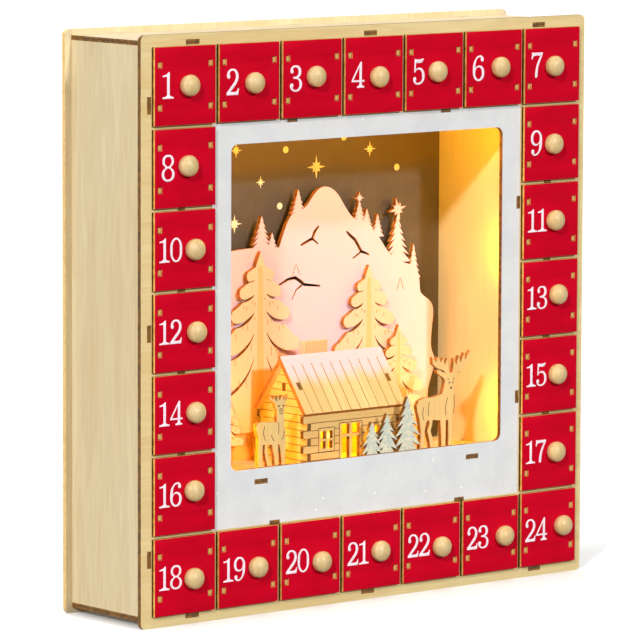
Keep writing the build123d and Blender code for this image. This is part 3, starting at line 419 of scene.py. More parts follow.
def back_panel_look():
    """Natural plywood whose inner face is painted as a night sky behind the scene, with painted warm LED
    light along the top of the sky.
    """
    board = Board("sky_plywood", Y_AXIS, Z_AXIS, board_middle("back_panel", Y_AXIS), 8.0, BARE)
    sky = board.stain(SKY_DARK, SKY_PALE, board.noise(0.03, 4.0), 0.3, 0.7)
    # Painted light: the sky turns warmer towards its top, standing in for the LED light there
    sky = board.stain(sky, SKY_GLOW, board.z, *SKY_GLOW_FADE)
    board.paint(painted_zone(board, CHAMBER_HALF, FLOOR_Z, CHAMBER_TOP, SKY_Y, 0.1), sky)
    return board.done()


def snow_tree_look():
    """Pale frosty paint over plywood, burnt at the edges."""
    board = Board("snow_paint", Y_AXIS, Z_AXIS, board_middle("snowy_trees", Y_AXIS), 5.0, CHARRED)
    board.face = board.stain(*FROST, board.noise(0.5, 4.0, 0.65), 0.35, 0.7)
    return board.done()


def roof_look(name, side):
    """Roof plywood, whiter in streaks towards the ridge."""
    across = (0.0, side * sin(ROOF_PITCH), cos(ROOF_PITCH))
    along = tuple(Vector(across).cross(Vector(X_AXIS)))
    middle = RIDGE_Y * across[1] + RIDGE_Z * across[2] - PLY / 2
    board = Board(name, across, along, middle, 6.0 + side, AMBER)
    board.tint(ROOF_TINT)
    streaks = board.times(board.noise((0.24, 0.04, 0.04)), RIDGE_WHITE_STREAK)
    streaked_z = board.math("ADD", board.z, streaks)
    board.paint(board.ease(streaked_z, *RIDGE_WHITE_FADE, 0.0, RIDGE_WHITE_MOST), ROOF_RIDGE_WHITE)
    return board.done()


def plastic(name, colour, pale, rough):
    """Moulded plastic with a fine spark-eroded grain."""
    look = Look(name)
    grain = look.noise(3.0)
    tone = look.stain(colour, pale, look.noise(0.05), 0.35, 0.75)
    return look.finish(tone, look.ease(grain, 0.3, 0.7, rough - 0.06, rough + 0.08), grain, 0.03)


def metal(name, colour, pale, rough):
    """Drawn or plated metal with faint scratches."""
    look = Look(name)
    scratch = look.noise((0.4, 4.0, 4.0))
    look.surface.inputs["Metallic"].default_value = 1.0
    tone = look.mix(scratch, colour, pale)
    return look.finish(tone, look.ease(scratch, 0.3, 0.7, rough - 0.08, rough + 0.1), scratch, 0.01)


def bulb_look():
    """Warm lit LED drop: clear resin that glows, a little unevenly."""
    look = Look("warm_bulb")
    swirl = look.noise(0.8, 2.0, 0.5)
    glow = look.mix(swirl, *LED_GLOW)
    look.feed(look.surface.inputs["Emission Color"], glow)
    look.surface.inputs["Emission Strength"].default_value = 1.3
    return look.finish(glow, look.ease(swirl, 0.3, 0.7, 0.2, 0.32))


def sleeve_look():
    """Printed sleeve of a plain cell, with a band at one end and no words."""
    look = Look("cell_sleeve")
    wear = look.noise(0.4)
    along = look.math("DIVIDE", look.x, CELL_LENGTH)
    tone = look.stain(*CELL_SLEEVE, look.math("FRACT", along), 0.7, 0.72)
    tone = look.mix(look.times(wear, 0.2), tone, CELL_WEAR)
    return look.finish(tone, look.ease(wear, 0.3, 0.7, 0.28, 0.4))


def red_front_look():
    """Red paint on the face of a drawer front, bare wood on its cut edges and its inner face, with painted
    shade on the rear part of each cut edge.
    """
    look = Look("red_paint")
    lot = look.spread(FRONT_LOT)
    moved = look.vector("ADD", look.place, look.join(lot, lot, lot))
    x, y, z = look.split(moved)
    facing = look.facing(FORWARD)
    fibre = look.noise((0.06, 1.0, 1.3), place=moved)
    paint = look.stain(RED, RED_DEEP, look.noise(0.05, rough=0.55, place=moved), 0.3, 0.75)
    paint = look.stain(paint, RED_STREAK, fibre, 0.5, 0.8, 0.12)
    mottle = look.noise(0.3, place=moved)
    edge = look.stain(*FRONT_EDGE, mottle, 0.3, 0.7)
    # Painted shade: the cut edge darkens towards its rear, where it sits close to the front panel
    edge_shade = look.stain(*FRONT_EDGE_SHADE, mottle, 0.4, 0.7)
    edge = look.stain(edge, edge_shade, look.y, -1.5, -1.2)
    tone = look.stain(edge, paint, facing, 0.4, 0.6)
    bare = wood_face(look, look.join(x, z, y), 2.0)[0]
    tone = look.mix(look.ease(facing, -0.6, -0.4, 1.0, 0.0), tone, bare)
    look.surface.inputs["Specular IOR Level"].default_value = 0.05
    return look.finish(tone, look.ease(fibre, 0.25, 0.8, 0.46, 0.58), fibre, 0.012)


def tray_look(name, across, along, middle, fold):
    """Tray plywood; fold takes a tray's two sides as one board, with pale ends on their tabs."""
    board = Board(name, across, along, middle, 4.0, AMBER, fold, TRAY_LOT)
    if fold:
        end = board.mix(board.noise(1.4), *TAB_END)
        # Painted shade: each tab end darkens towards its two faces, where the slot round it lies in shade
        end = board.stain(end, TAB_RIM_SHADE, board.math("ABSOLUTE", board.through), 0.7, 0.95)
        board.edge = board.stain(board.edge, end, board.facing(FORWARD), 0.7, 0.9)
    return board.done()


def knob_look():
    """Turned birch ball, its rings across the front."""
    look = Look("knob_wood")
    lot = look.spread(KNOB_LOT)
    moved = look.vector("ADD", look.place, look.join(lot, 0.0, lot))
    figure = look.noise((0.5, 0.06, 0.16), rough=0.55, place=moved)
    pore = look.noise((2.0, 2.0, 0.4), place=moved)
    tone = look.stain(*KNOB_WOOD, figure, 0.3, 0.7)
    tone = look.stain(tone, KNOB_RING, rings(look, figure, KNOB_RINGS), 0.1, 0.4, 0.22)
    tone = look.mix(look.spread(0.3), tone, KNOB_WARM)
    tone = look.stain(tone, FLECK, pore, 0.55, 0.75, 0.2)
    return look.finish(tone, look.ease(pore, 0.3, 0.7, 0.36, 0.5), pore)


def ink_look(name, colour, other, rough):
    """Printed or burnt line work, a little uneven."""
    look = Look(name)
    patch = look.noise(1.2)
    return look.finish(look.stain(colour, other, patch, 0.35, 0.7), rough, patch, 0.01)


def dress(node, material):
    """Gives a node of the model its material."""
    materials = nodes[node].data.materials
    materials.clear()
    materials.append(material)


# The model's own boards: thin axis, grain axis and, where they aren't plain, edges, tint and wash
BOARDS = (
    ("top_panel", Z_AXIS, X_AXIS),
    ("bottom_panel", Z_AXIS, X_AXIS),
    ("left_side_panel", X_AXIS, Z_AXIS),
    ("right_side_panel", X_AXIS, Z_AXIS),
    ("upper_shelf", Z_AXIS, X_AXIS),
    ("lower_shelf", Z_AXIS, X_AXIS),
    ("left_chamber_wall", X_AXIS, Z_AXIS, CHARRED, WALL_TINT, 0.6),
    ("right_chamber_wall", X_AXIS, Z_AXIS, CHARRED, WALL_TINT, 0.6),
    ("column_shelves", Z_AXIS, Y_AXIS),
    ("row_dividers", X_AXIS, Y_AXIS),
    ("scene_floor", Z_AXIS, X_AXIS),
    ("mountain", Y_AXIS, Z_AXIS, AMBER, MOUNTAIN_TINT, 0.86),
    ("left_pine", Y_AXIS, Z_AXIS, AMBER, PINE_TINT, 0.7),
    ("centre_pine", Y_AXIS, Z_AXIS, AMBER, PINE_TINT, 0.7),
    ("right_pine", Y_AXIS, Z_AXIS, AMBER, PINE_TINT, 0.55),
    ("small_pine", Y_AXIS, Z_AXIS, AMBER, PINE_TINT, 0.4),
    ("stag", Y_AXIS, Z_AXIS, AMBER, STAG_TINT),
    ("fawn", Y_AXIS, Z_AXIS, AMBER, FAWN_TINT),
    ("cabin_front_wall", Y_AXIS, X_AXIS, CHARRED, CABIN_TINT),
    ("cabin_rear_wall", Y_AXIS, X_AXIS, CHARRED, CABIN_TINT),
    ("cabin_left_gable", X_AXIS, Y_AXIS, CHARRED, GABLE_TINT),
    ("cabin_right_gable", X_AXIS, Y_AXIS, CHARRED, GABLE_TINT),
    ("cabin_chimney", Y_AXIS, X_AXIS, PALE, CHIMNEY_TINT, 0.6),
)
SEED_STEP = 11.3
for order, board in enumerate(BOARDS, start=1):
    dress(board[0], plywood(order * SEED_STEP, *board))

# The model's other nodes, which have a material of their own
dress("front_panel", front_panel_look())
dress("back_panel", back_panel_look())
dress("snowy_trees", snow_tree_look())
dress("cabin_front_roof", roof_look("front_roof_plywood", -1))
dress("cabin_rear_roof", roof_look("rear_roof_plywood", 1))
dress("led_wire", metal("copper_wire", rgb(170, 104, 60), rgb(214, 156, 104), 0.35))
dress("led_bulbs", bulb_look())
dress("battery_box", plastic("black_plastic", rgb(24, 24, 26), rgb(36, 36, 38), 0.48))
dress("battery_cover", plastic("cover_plastic", rgb(22, 22, 24), rgb(34, 34, 36), 0.44))
dress("switch_key", plastic("key_plastic", rgb(204, 202, 196), rgb(226, 224, 218), 0.4))
dress("battery_contacts", metal("contact_metal", rgb(176, 174, 168), rgb(214, 212, 206), 0.28))
dress("battery_cells", sleeve_look())

# Fine steps of the added meshes: angles in degrees, lengths in millimetres
SMOOTH_ANGLE = 35.0
WELD_REACH = 0.0002
CURVE_STEPS = 6
LINE_SINK = 0.05
LINE_RISE = 0.05


def to_mesh(shell, name):
    """New mesh from a shell, which is then let go."""
    mesh = bpy.data.meshes.new(name)
    shell.to_mesh(mesh)
    shell.free()
    return mesh


def merged(parts, name):
    """New mesh from several, which are then let go."""
    shell = bmesh.new()
    for part in parts:
        shell.from_mesh(part)
        bpy.data.meshes.remove(part)
    return to_mesh(shell, name)


def add_object(name, data):
    """New object in the scene."""
    made = bpy.data.objects.new(name, data)
    scene.collection.objects.link(made)
    return made


def smooth_by_angle(mesh):
    mesh.shade_smooth()
    mesh.set_sharp_from_angle(angle=radians(SMOOTH_ANGLE))


def weld(mesh):
    """Joins the rims of a mesh's faces, so that it is closed."""
    shell = bmesh.new()
    shell.from_mesh(mesh)
    bmesh.ops.remove_doubles(shell, verts=shell.verts, dist=WELD_REACH * MM)
    bmesh.ops.recalc_face_normals(shell, faces=shell.faces)
    shell.to_mesh(mesh)
    shell.free()


def plate(name, outlines, thickness, bevel=0.0):
    """Plate seen from the front, cut to outlines in millimetres; its back lies at y 0.

    A point of an outline is (x, z) where the line turns smoothly, and (x, z, 1) at a corner.
    """
    curve = bpy.data.curves.new(name, "CURVE")
    curve.dimensions = "2D"
    curve.fill_mode = "BOTH"
    curve.resolution_u = CURVE_STEPS
    curve.extrude = thickness / 2 - bevel
    curve.bevel_depth = bevel
    curve.bevel_resolution = 1
    curve.offset = -bevel
    for outline in outlines:
        spline = curve.splines.new("BEZIER")
        spline.bezier_points.add(len(outline) - 1)
        spline.use_cyclic_u = True
        for knot, point in zip(spline.bezier_points, outline):
            knot.co = (point[0], point[1], 0.0)
            kind = "VECTOR" if len(point) > 2 else "AUTO"
            knot.handle_left_type = kind
            knot.handle_right_type = kind
    maker = add_object(name, curve)
    bpy.context.view_layer.update()
    mesh = bpy.data.meshes.new_from_object(maker.evaluated_get(bpy.context.evaluated_depsgraph_get()))
    bpy.data.objects.remove(maker)
    bpy.data.curves.remove(curve)
    mesh.name = name
    upright = Matrix.Translation((0.0, -thickness / 2 * MM, 0.0)) @ Matrix.Rotation(pi / 2, 4, "X")
    mesh.transform(upright @ Matrix.Diagonal((MM, MM, MM, 1.0)))
    weld(mesh)
    smooth_by_angle(mesh)
    return mesh


def corners(points):
    """The same outline with a corner at every point."""
    return [(x, z, 1) for x, z in points]


def rectangle(x, z, width, height):
    left, right = x - width / 2, x + width / 2
    low, high = z - height / 2, z + height / 2
    return corners([(left, low), (right, low), (right, high), (left, high)])


def add_box(shell, low, high, material):
    """Adds a box from its corners, in millimetres, with the material of that number."""
    made = bmesh.ops.create_cube(shell, size=1.0)
    size = Vector(high) - Vector(low)
    centre = (Vector(high) + Vector(low)) / 2
    for vert in made["verts"]:
        vert.co = Vector(centre[axis] + vert.co[axis] * size[axis] for axis in range(3)) * MM
        for face in vert.link_faces:
            face.material_index = material


def piece(name, mesh, material, body="case", spot=(0.0, 0.0, 0.0)):
    """Puts a mesh at a place in millimetres, riding on a body of the model."""
    if material is not None:
        mesh.materials.clear()
        mesh.materials.append(material)
    made = add_object(name, mesh)
    made.location = Vector(spot) * MM
    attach(made, body)
    return made


def strip_sides(points, width):
    """Left and right sides of a line of some width through points on a flat drawing."""
    left = []
    right = []
    line = [Vector(point) for point in points]
    for before, point, after in zip(line[:1] + line, line, line[1:] + line[-1:]):
        way = (after - before).normalized()
        out = Vector((-way.y, way.x)) * width / 2
        left.append(point + out)
        right.append(point - out)
    return left, right


def line_work(name, lines, width, to_space):
    """Mesh of thin raised lines through points of a drawing, which to_space puts on a face."""
    shell = bmesh.new()
    for points in lines:
        sides = strip_sides(points, width)
        rails = []
        for height in (-LINE_SINK, LINE_RISE):
            for side in sides:
                rails.append([shell.verts.new(to_space(point.x, point.y, height) * MM) for point in side])
        low_left, low_right, high_left, high_right = rails
        ring = [low_right, low_left, high_left, high_right]
        for step in range(len(points) - 1):
            for first, second in zip(ring, ring[1:] + ring[:1]):
                shell.faces.new((first[step], first[step + 1], second[step + 1], second[step]))
        for end in (0, -1):
            shell.faces.new((low_left[end], low_right[end], high_right[end], high_left[end]))
    bmesh.ops.recalc_face_normals(shell, faces=shell.faces)
    return to_mesh(shell, name)


def on_front(y):
    """Puts a drawing of x and z on a face that looks forward at depth y."""
    return lambda x, z, height: Vector((x, y - height, z))


def on_gable(side):
    """Puts a drawing of y and z on a gable, the left one where side is -1."""
    return lambda y, z, height: Vector((side * (GABLE_X + height), y, z))


def on_front_roof(x, run, height):
    y = EAVE_Y + run * cos(ROOF_PITCH) - height * sin(ROOF_PITCH)
    z = EAVE_Z + run * sin(ROOF_PITCH) + height * cos(ROOF_PITCH)
    return Vector((x, y, z))


def arc(x, z, reach, start, end, steps, squash=1.0):
    """Points along a part of a circle, its angles in degrees."""
    points = []
    for step in range(steps + 1):
        angle = radians(start + (end - start) * step / steps)
        points.append((x + reach * cos(angle), z + reach * squash * sin(angle)))
    return points


def dot(x, z, reach):
    """Outline of a round dot, from eight points."""
    return arc(x, z, reach, 0, 315, 7)


# Serif numerals as they are drawn: outlines with their counters
NUMERAL_HEIGHT = 100
DIGITS = {
    "0": [
        [(28, -1), (48, 12), (56, 50), (48, 88), (28, 101), (8, 88), (0, 50), (8, 12)],
        [(28, 6.5), (15.5, 16), (10.5, 50), (15.5, 84), (28, 93.5), (40.5, 84), (45.5, 50), (40.5, 16)],
    ],
    "1": [
        [(3, 0, 1), (52, 0, 1), (52, 6, 1), (42, 8), (34, 14, 1), (34, 101, 1), (30, 101, 1),
         (21, 93), (4, 88.5, 1), (4, 83, 1), (22.5, 84.5, 1), (23, 14, 1), (15, 8), (3, 6, 1)],
    ],
    "2": [
        [(1, 0, 1), (53, 0, 1), (56, 25, 1), (51.5, 25, 1), (48.5, 16), (42, 12.5), (17, 12.5, 1),
         (36, 32), (50, 52), (54.5, 73), (45.5, 94), (28, 101), (11, 95), (3.5, 79), (5, 67), (10.5, 63.5),
         (16, 66.5), (17.5, 73), (14.5, 80), (17.5, 89.5), (27, 94), (38.5, 87.5), (43, 72),
         (38, 54), (24, 36), (1, 8.5, 1)],
    ],
    "3": [
        [(28, -1), (47.5, 6), (56, 28), (51.5, 43), (39.5, 52.5, 1), (49, 61), (52.5, 77), (45.5, 95),
         (28, 101), (12, 96.5), (4, 82), (5.5, 73.5), (11, 70.5), (16.5, 73), (18, 79), (14.5, 86),
         (18.5, 92), (27, 94), (37, 89), (41, 77), (37, 62.5), (24, 56.5, 1), (17, 56.5, 1),
         (17, 50, 1), (24, 50, 1), (39.5, 44), (45, 28), (40, 11.5), (27, 6), (17, 8.5),
         (13.5, 14.5), (17, 21.5), (15.5, 28.5), (9.5, 31.5), (3.5, 28), (2, 19.5), (10, 5)],
    ],
    "4": [
        [(-1, 23, 1), (35, 23, 1), (35, 13, 1), (31, 8), (24, 6, 1), (24, 0, 1), (57, 0, 1),
         (57, 6, 1), (50, 8), (46, 13, 1), (46, 23, 1), (58, 23, 1), (58, 30, 1), (46, 30, 1),
         (46, 101, 1), (40, 101, 1), (-1, 30, 1)],
        [(6.5, 30, 1), (35, 82, 1), (35, 30, 1)],
    ],
    "5": [
        [(26, -1), (46.5, 7.5), (55.5, 33), (47, 57.5), (30, 65.5), (13, 58.5, 1), (14.5, 86, 1),
         (30, 84), (42, 86), (52, 99.5, 1), (48.5, 101.5, 1), (36, 98.5), (20, 98.5), (9, 101, 1),
         (7, 48, 1), (11.5, 47.5, 1), (16, 55), (25, 59), (39, 52), (44.5, 32), (39.5, 12.5), (25, 6),
         (16.5, 8), (13, 13.5), (16, 19.5), (14.5, 26.5), (9, 29.5), (3.5, 26), (2, 18.5), (9, 4.5)],
    ],
    "6": [
        [(28.5, -1), (47.5, 7), (55.5, 31), (48, 54), (31.5, 61), (21.5, 58), (12.5, 50, 1), (14, 66),
         (20.5, 86.5), (33, 94), (40, 91.5), (39, 85), (40.5, 78.5), (45.5, 75.5), (51, 78), (53, 84),
         (47, 96.5), (33, 101), (11.5, 86), (1, 46), (9, 9)],
        [(28.5, 6.5), (17, 13.5), (12, 31), (17, 48.5), (28.5, 54), (39.5, 48.5), (44.5, 31),
         (39.5, 13.5)],
    ],
    "7": [
        [(24, -1), (29.5, 3), (31, 12), (33, 34), (41, 60), (56, 92, 1), (56, 100, 1), (9, 100, 1),
         (7.5, 101.5, 1), (3.5, 101.5, 1), (1.5, 74, 1), (6, 74, 1), (9, 83), (17, 87), (45, 87, 1),
         (30, 58), (21.5, 30), (19, 9), (20, 1.5)],
    ],
    "8": [
        [(28, -1), (48, 6.5), (56, 26.5), (51, 42), (40.5, 53), (49, 62), (53, 76.5), (46, 94.5),
         (28, 101), (10, 94.5), (3, 76.5), (7, 62), (15.5, 53), (5, 42), (0, 26.5), (8, 6.5)],
        [(28, 6.5), (15.5, 11.5), (10.5, 27), (15, 41), (28, 49.5), (41, 41), (45.5, 27), (40.5, 11.5)],
        [(28, 56.5), (16.5, 63.5), (12.5, 77), (17, 89), (28, 93.5), (39, 89), (43.5, 77), (39.5, 63.5)],
    ],
}
NUMERAL_WIDTH = 56
DIGITS["9"] = [
    [(NUMERAL_WIDTH - x, NUMERAL_HEIGHT - z, *corner) for x, z, *corner in outline]
    for outline in DIGITS["6"]
]
DIGIT_STRETCH = 1.1
DIGIT_GAP = 0.5
ONE_DIGIT_HEIGHT = 13.2
ONE_DIGIT_X = -11.0
TWO_DIGIT_HEIGHT = 12.1
TWO_DIGIT_LEFT = -16.6
DIGIT_RISE = 0.35
LOW_ROW_RISE = -0.5
LOW_ROW_START = 18
INK_THICKNESS = 0.12
INK_BEVEL = 0.03
INK_SINK = 0.02


def digit_reach(digit):
    """Left and right ends of a digit, as it is drawn."""
    across = [point[0] for point in DIGITS[digit][0]]
    return min(across), max(across)


def number_mesh(name, number):
    """A number's digits as thin plates, set out from the middle of its drawer front."""
    text = str(number)
    single = len(text) == 1
    tall = (ONE_DIGIT_HEIGHT if single else TWO_DIGIT_HEIGHT) / NUMERAL_HEIGHT
    wide = tall * DIGIT_STRETCH
    reaches = [digit_reach(digit) for digit in text]
    left = ONE_DIGIT_X - (reaches[0][1] - reaches[0][0]) * wide / 2 if single else TWO_DIGIT_LEFT
    foot = (DIGIT_RISE if number < LOW_ROW_START else LOW_ROW_RISE) - NUMERAL_HEIGHT / 2 * tall
    parts = []
    for digit, (low, high) in zip(text, reaches):
        start = left - low * wide
        outlines = []
        for outline in DIGITS[digit]:
            outlines.append([(start + x * wide, foot + z * tall, *corner) for x, z, *corner in outline])
        parts.append(plate(name, outlines, INK_THICKNESS, INK_BEVEL))
        left += (high - low) * wide + DIGIT_GAP
    return merged(parts, name)


# Softened edges and small clearances of the drawers, and steps round a knob
FRONT_BEVEL = 0.14
SLOT_FIT = 0.16
TAB_SLACK = 0.2
TAB_SINK = 0.25
TRAY_FIT = 0.02
TRAY_BEVEL = 0.12
KNOB_TURNS = 40


def front_mesh():
    """Drawer front: a board with rounded-over edges and slots for the tray's tabs."""
    outlines = [rectangle(0.0, 0.0, FRONT_WIDTH, FRONT_HEIGHT)]
    for x in (-TAB_X, TAB_X):
        for z in (-TAB_Z, TAB_Z):
            outlines.append(rectangle(x, z, PLY + SLOT_FIT, TAB_HEIGHT + SLOT_FIT))
    return plate("drawer_front", outlines, PLY, FRONT_BEVEL)


def tray_side_outline():
    """A tray side seen along X: y and z points, with two tabs that reach through the front."""
    outline = [(0, TRAY_BOTTOM), (TRAY_DEPTH, TRAY_BOTTOM), (TRAY_DEPTH, TRAY_TOP), (0, TRAY_TOP)]
    tab_end = TAB_SINK - PLY
    half = TAB_HEIGHT / 2 - TAB_SLACK
    for z in (TAB_Z, -TAB_Z):
        outline += [(0, z + half), (tab_end, z + half), (tab_end, z - half), (0, z - half)]
    return outline


def tray_mesh():
    """Drawer tray as four boards: two tabbed sides, a floor and a back, with softened edges."""
    shell = bmesh.new()
    outline = tray_side_outline()
    for side in (-1, 1):
        rims = []
        for x in (side * (TRAY_WIDTH / 2 - PLY), side * TRAY_WIDTH / 2):
            rims.append([shell.verts.new(Vector((x, y, z)) * MM) for y, z in outline])
        for rim in rims:
            shell.faces.new(rim)
        for index in range(len(outline)):
            after = (index + 1) % len(outline)
            shell.faces.new((rims[0][index], rims[0][after], rims[1][after], rims[1][index]))
    half = TRAY_WIDTH / 2 - PLY - TRAY_FIT
    floor_top = TRAY_BOTTOM + PLY
    add_box(shell, (-half, TRAY_FIT, TRAY_BOTTOM), (half, TRAY_DEPTH, floor_top), 1)
    add_box(shell, (-half, TRAY_DEPTH - PLY, floor_top + TRAY_FIT), (half, TRAY_DEPTH, TRAY_TOP), 2)
    bmesh.ops.recalc_face_normals(shell, faces=shell.faces)
    edges = list(shell.edges)
    bmesh.ops.bevel(
        shell, geom=edges, offset=TRAY_BEVEL * MM, segments=1, affect="EDGES", clamp_overlap=True
    )
    return to_mesh(shell, "drawer_tray")


def knob_profile():
    """Points of the knob's profile from nose to foot: reach, and height over the drawer front."""
    shoulder_x = KNOB_RADIUS - KNOB_SHOULDER
    nose = (shoulder_x ** 2 + KNOB_CROWN ** 2 - KNOB_SHOULDER ** 2) / (2 * (KNOB_CROWN - KNOB_SHOULDER))
    turn = atan2(nose - KNOB_CROWN, shoulder_x)
    undercut = asin(KNOB_WAIST / KNOB_RADIUS)
    profile = [(0.0, KNOB_WAIST + KNOB_CROWN)]
    for centre_x, centre_out, reach, start, end, steps in (
        (0.0, KNOB_WAIST + KNOB_CROWN - nose, nose, pi / 2, turn, 10),
        (shoulder_x, KNOB_WAIST, KNOB_SHOULDER, turn, 0.0, 6),
        (0.0, KNOB_WAIST, KNOB_RADIUS, 0.0, -undercut, 6),
    ):
        for step in range(1, steps + 1):
            angle = start + (end - start) * step / steps
            profile.append((centre_x + reach * cos(angle), centre_out + reach * sin(angle)))
    return profile + [(0.0, 0.0)]


def knob_mesh():
    """Turned knob with a flat foot against the drawer front and a low domed nose."""
    shell = bmesh.new()
    loops = []
    for reach, out in knob_profile():
        loop = []
        for turn in range(KNOB_TURNS if reach else 1):
            angle = 2 * pi * turn / KNOB_TURNS
            loop.append(shell.verts.new(Vector((reach * cos(angle), -out, reach * sin(angle))) * MM))
        loops.append(loop)
    for first, second in zip(loops, loops[1:]):
        for turn in range(KNOB_TURNS):
            after = (turn + 1) % KNOB_TURNS
            if len(first) == 1:
                shell.faces.new((first[0], second[turn], second[after]))
            elif len(second) == 1:
                shell.faces.new((first[turn], first[after], second[0]))
            else:
                shell.faces.new((first[turn], first[after], second[after], second[turn]))
    bmesh.ops.recalc_face_normals(shell, faces=shell.faces)
    mesh = to_mesh(shell, "drawer_knob")
    smooth_by_angle(mesh)
    return mesh


# Where each knob sits from the middle of its drawer front, in number order, as in the model
KNOB_SPOTS = [
    (1.5, 0), (2, -0.5), (1, 1), (2, -1), (0.5, 0), (3, 0.5), (0, -0.5), (0.5, 1),
    (0, -0.5), (5, 0), (1.5, 0), (6, -0.5), (4, 1.5), (5.5, 0), (4, 0), (4.5, 1.5),
    (3.5, -0.5), (4.5, -2), (5, -0.5), (6, -2), (4.5, -0.5), (5.5, -2.5), (8.5, -1), (9, 0.5),
]

# Drawers: front, tray, knob and number, in number order round the window
columns = [(column - 3) * PITCH + DRAWER_SHIFT for column in range(7)]
rows = [MIDDLE_Z + (3 - row) * PITCH for row in range(7)]
cells = [(x, rows[0]) for x in columns]
for z in rows[1:-1]:
    cells += [(columns[0], z), (columns[-1], z)]
cells += [(x, rows[-1]) for x in columns]

front_shape = front_mesh()
front_shape.materials.append(red_front_look())
tray_shape = tray_mesh()
for material in (
    tray_look("tray_side_plywood", X_AXIS, Y_AXIS, TRAY_WIDTH / 2 - PLY / 2, True),
    tray_look("tray_floor_plywood", Z_AXIS, Y_AXIS, TRAY_BOTTOM + PLY / 2, False),
    tray_look("tray_back_plywood", Y_AXIS, X_AXIS, TRAY_DEPTH - PLY / 2, False),
):
    tray_shape.materials.append(material)
knob_shape = knob_mesh()
knob_shape.materials.append(knob_look())
number_ink = ink_look("number_ink", rgb(246, 232, 240), rgb(232, 218, 226), 0.5)

for number, (x, z) in enumerate(cells, start=1):
    body = f"drawer_{number:02d}"
    knob_x, knob_z = KNOB_SPOTS[number - 1]
    front = piece(f"{body}_front", front_shape, None, body, (x, FRONT_Y, z))
    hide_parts(body)
    piece(f"{body}_tray", tray_shape, None, body, (x, FRONT_Y, z))
    piece(f"{body}_knob", knob_shape, None, body, (x + knob_x, FACE_Y, z + knob_z))
    number_shape = number_mesh(f"{body}_number", number)
    piece(f"{body}_number", number_shape, number_ink, body, (x, FACE_Y + INK_SINK, z))


# Stars and dots of the painted sky: place, reach of the long points
SKY_STARS = ((16, 221.1, 6.3), (53, 228.8, 4.2), (-38.5, 232.6, 4), (-22, 215.1, 3.3), (-39.5, 194.1, 5))
STAR_POINTS = 8
STAR_WAIST = 0.34
STAR_SHORT = 0.58
STAR_THICKNESS = 0.15
STAR_SINK = 0.01
SKY_DOTS = ((-5, 231.3), (35, 236), (72, 218), (-9, 201.8))
SKY_DOT_RADIUS = 1.8
star_outlines = []
for x, z, reach in SKY_STARS:
    star = []
    for corner in range(2 * STAR_POINTS):
        length = reach * (1.0, STAR_WAIST, STAR_SHORT, STAR_WAIST)[corner % 4]
        angle = corner * pi / STAR_POINTS
        star.append((x + length * cos(angle), z + length * sin(angle)))
    star_outlines.append(corners(star))
for x, z in SKY_DOTS:
    star_outlines.append(dot(x, z, SKY_DOT_RADIUS))
star_paint = ink_look("star_paint", rgb(250, 240, 214), rgb(240, 226, 196), 0.6)
star_mesh = plate("sky_stars", star_outlines, STAR_THICKNESS)
piece("sky_stars", star_mesh, star_paint, "case", (0.0, SKY_Y + STAR_SINK, 0.0))

# Burnt line work of the cabin
ENGRAVED_WIDTH = 0.4
LOG_HEIGHT = 3.926
LOG_SEAMS = [FLOOR_Z + LOG_HEIGHT * course for course in range(1, 7)]
WALL_HALF = 28.9
FRAME_HALF_WIDTH = 5.3
FRAME_LOW = 77.9
FRAME_HIGH = 90.5
FRAME_X = 18.4
DOOR_MIDDLE = -2.0
DOOR_HALF = 7.7
DOOR_SILL = 0.3
DOOR_TOP = 92.2
PLANK = 6.4
PLANK_COUNT = 10
PLANK_START = 0.1
PLANK_RUN = 29.5
PLANK_WIDTH = 0.55
ROOF_CLEAR = 0.4
CORNER_CLEAR = 0.3
SIDING_TOP = 119.0
ATTIC_LOW = 108.4
ATTIC_HIGH = 113.6
ATTIC_HALF = 1.9


def legs(points):
    """Straight lines from each point to the next."""
    return [[first, second] for first, second in zip(points, points[1:])]


def box_lines(x, half_width, low, high):
    """Four lines round a rectangle."""
    left, right = x - half_width, x + half_width
    return legs([(left, low), (left, high), (right, high), (right, low), (left, low)])


def seam_lines(seam, start, end, blocks):
    """A seam from start to end, broken where it would cross a block."""
    lines = []
    for middle, half, low, high in blocks:
        if low < seam < high:
            lines.append([(start, seam), (middle - half, seam)])
            start = middle + half
    return lines + [[(start, seam), (end, seam)]]


wall_blocks = [
    (-FRAME_X, FRAME_HALF_WIDTH, FRAME_LOW, FRAME_HIGH),
    (DOOR_MIDDLE, DOOR_HALF, FLOOR_Z + DOOR_SILL, DOOR_TOP),
    (FRAME_X, FRAME_HALF_WIDTH, FRAME_LOW, FRAME_HIGH),
]
wall_lines = []
for seam in LOG_SEAMS:
    wall_lines += seam_lines(seam, -WALL_HALF, WALL_HALF, wall_blocks)
for block in wall_blocks:
    wall_lines += box_lines(*block)

gable_blocks = [(RIDGE_Y, ATTIC_HALF, ATTIC_LOW, ATTIC_HIGH)]
gable_lines = []
rise = (RIDGE_Z - EAVE_Z) / (RIDGE_Y - EAVE_Y)
seam = LOG_SEAMS[0]
while seam < SIDING_TOP:
    under_roof = EAVE_Y + (seam - EAVE_Z + PLY / cos(ROOF_PITCH)) / rise
    near = max(under_roof + ROOF_CLEAR, CABIN_FRONT_Y + PLY + CORNER_CLEAR)
    gable_lines += seam_lines(seam, near, 2 * RIDGE_Y - near, gable_blocks)
    seam += LOG_HEIGHT

plank_lines = []
for plank in range(PLANK_COUNT):
    x = (plank - (PLANK_COUNT - 1) / 2) * PLANK
    plank_lines.append([(x, PLANK_START), (x, PLANK_RUN)])

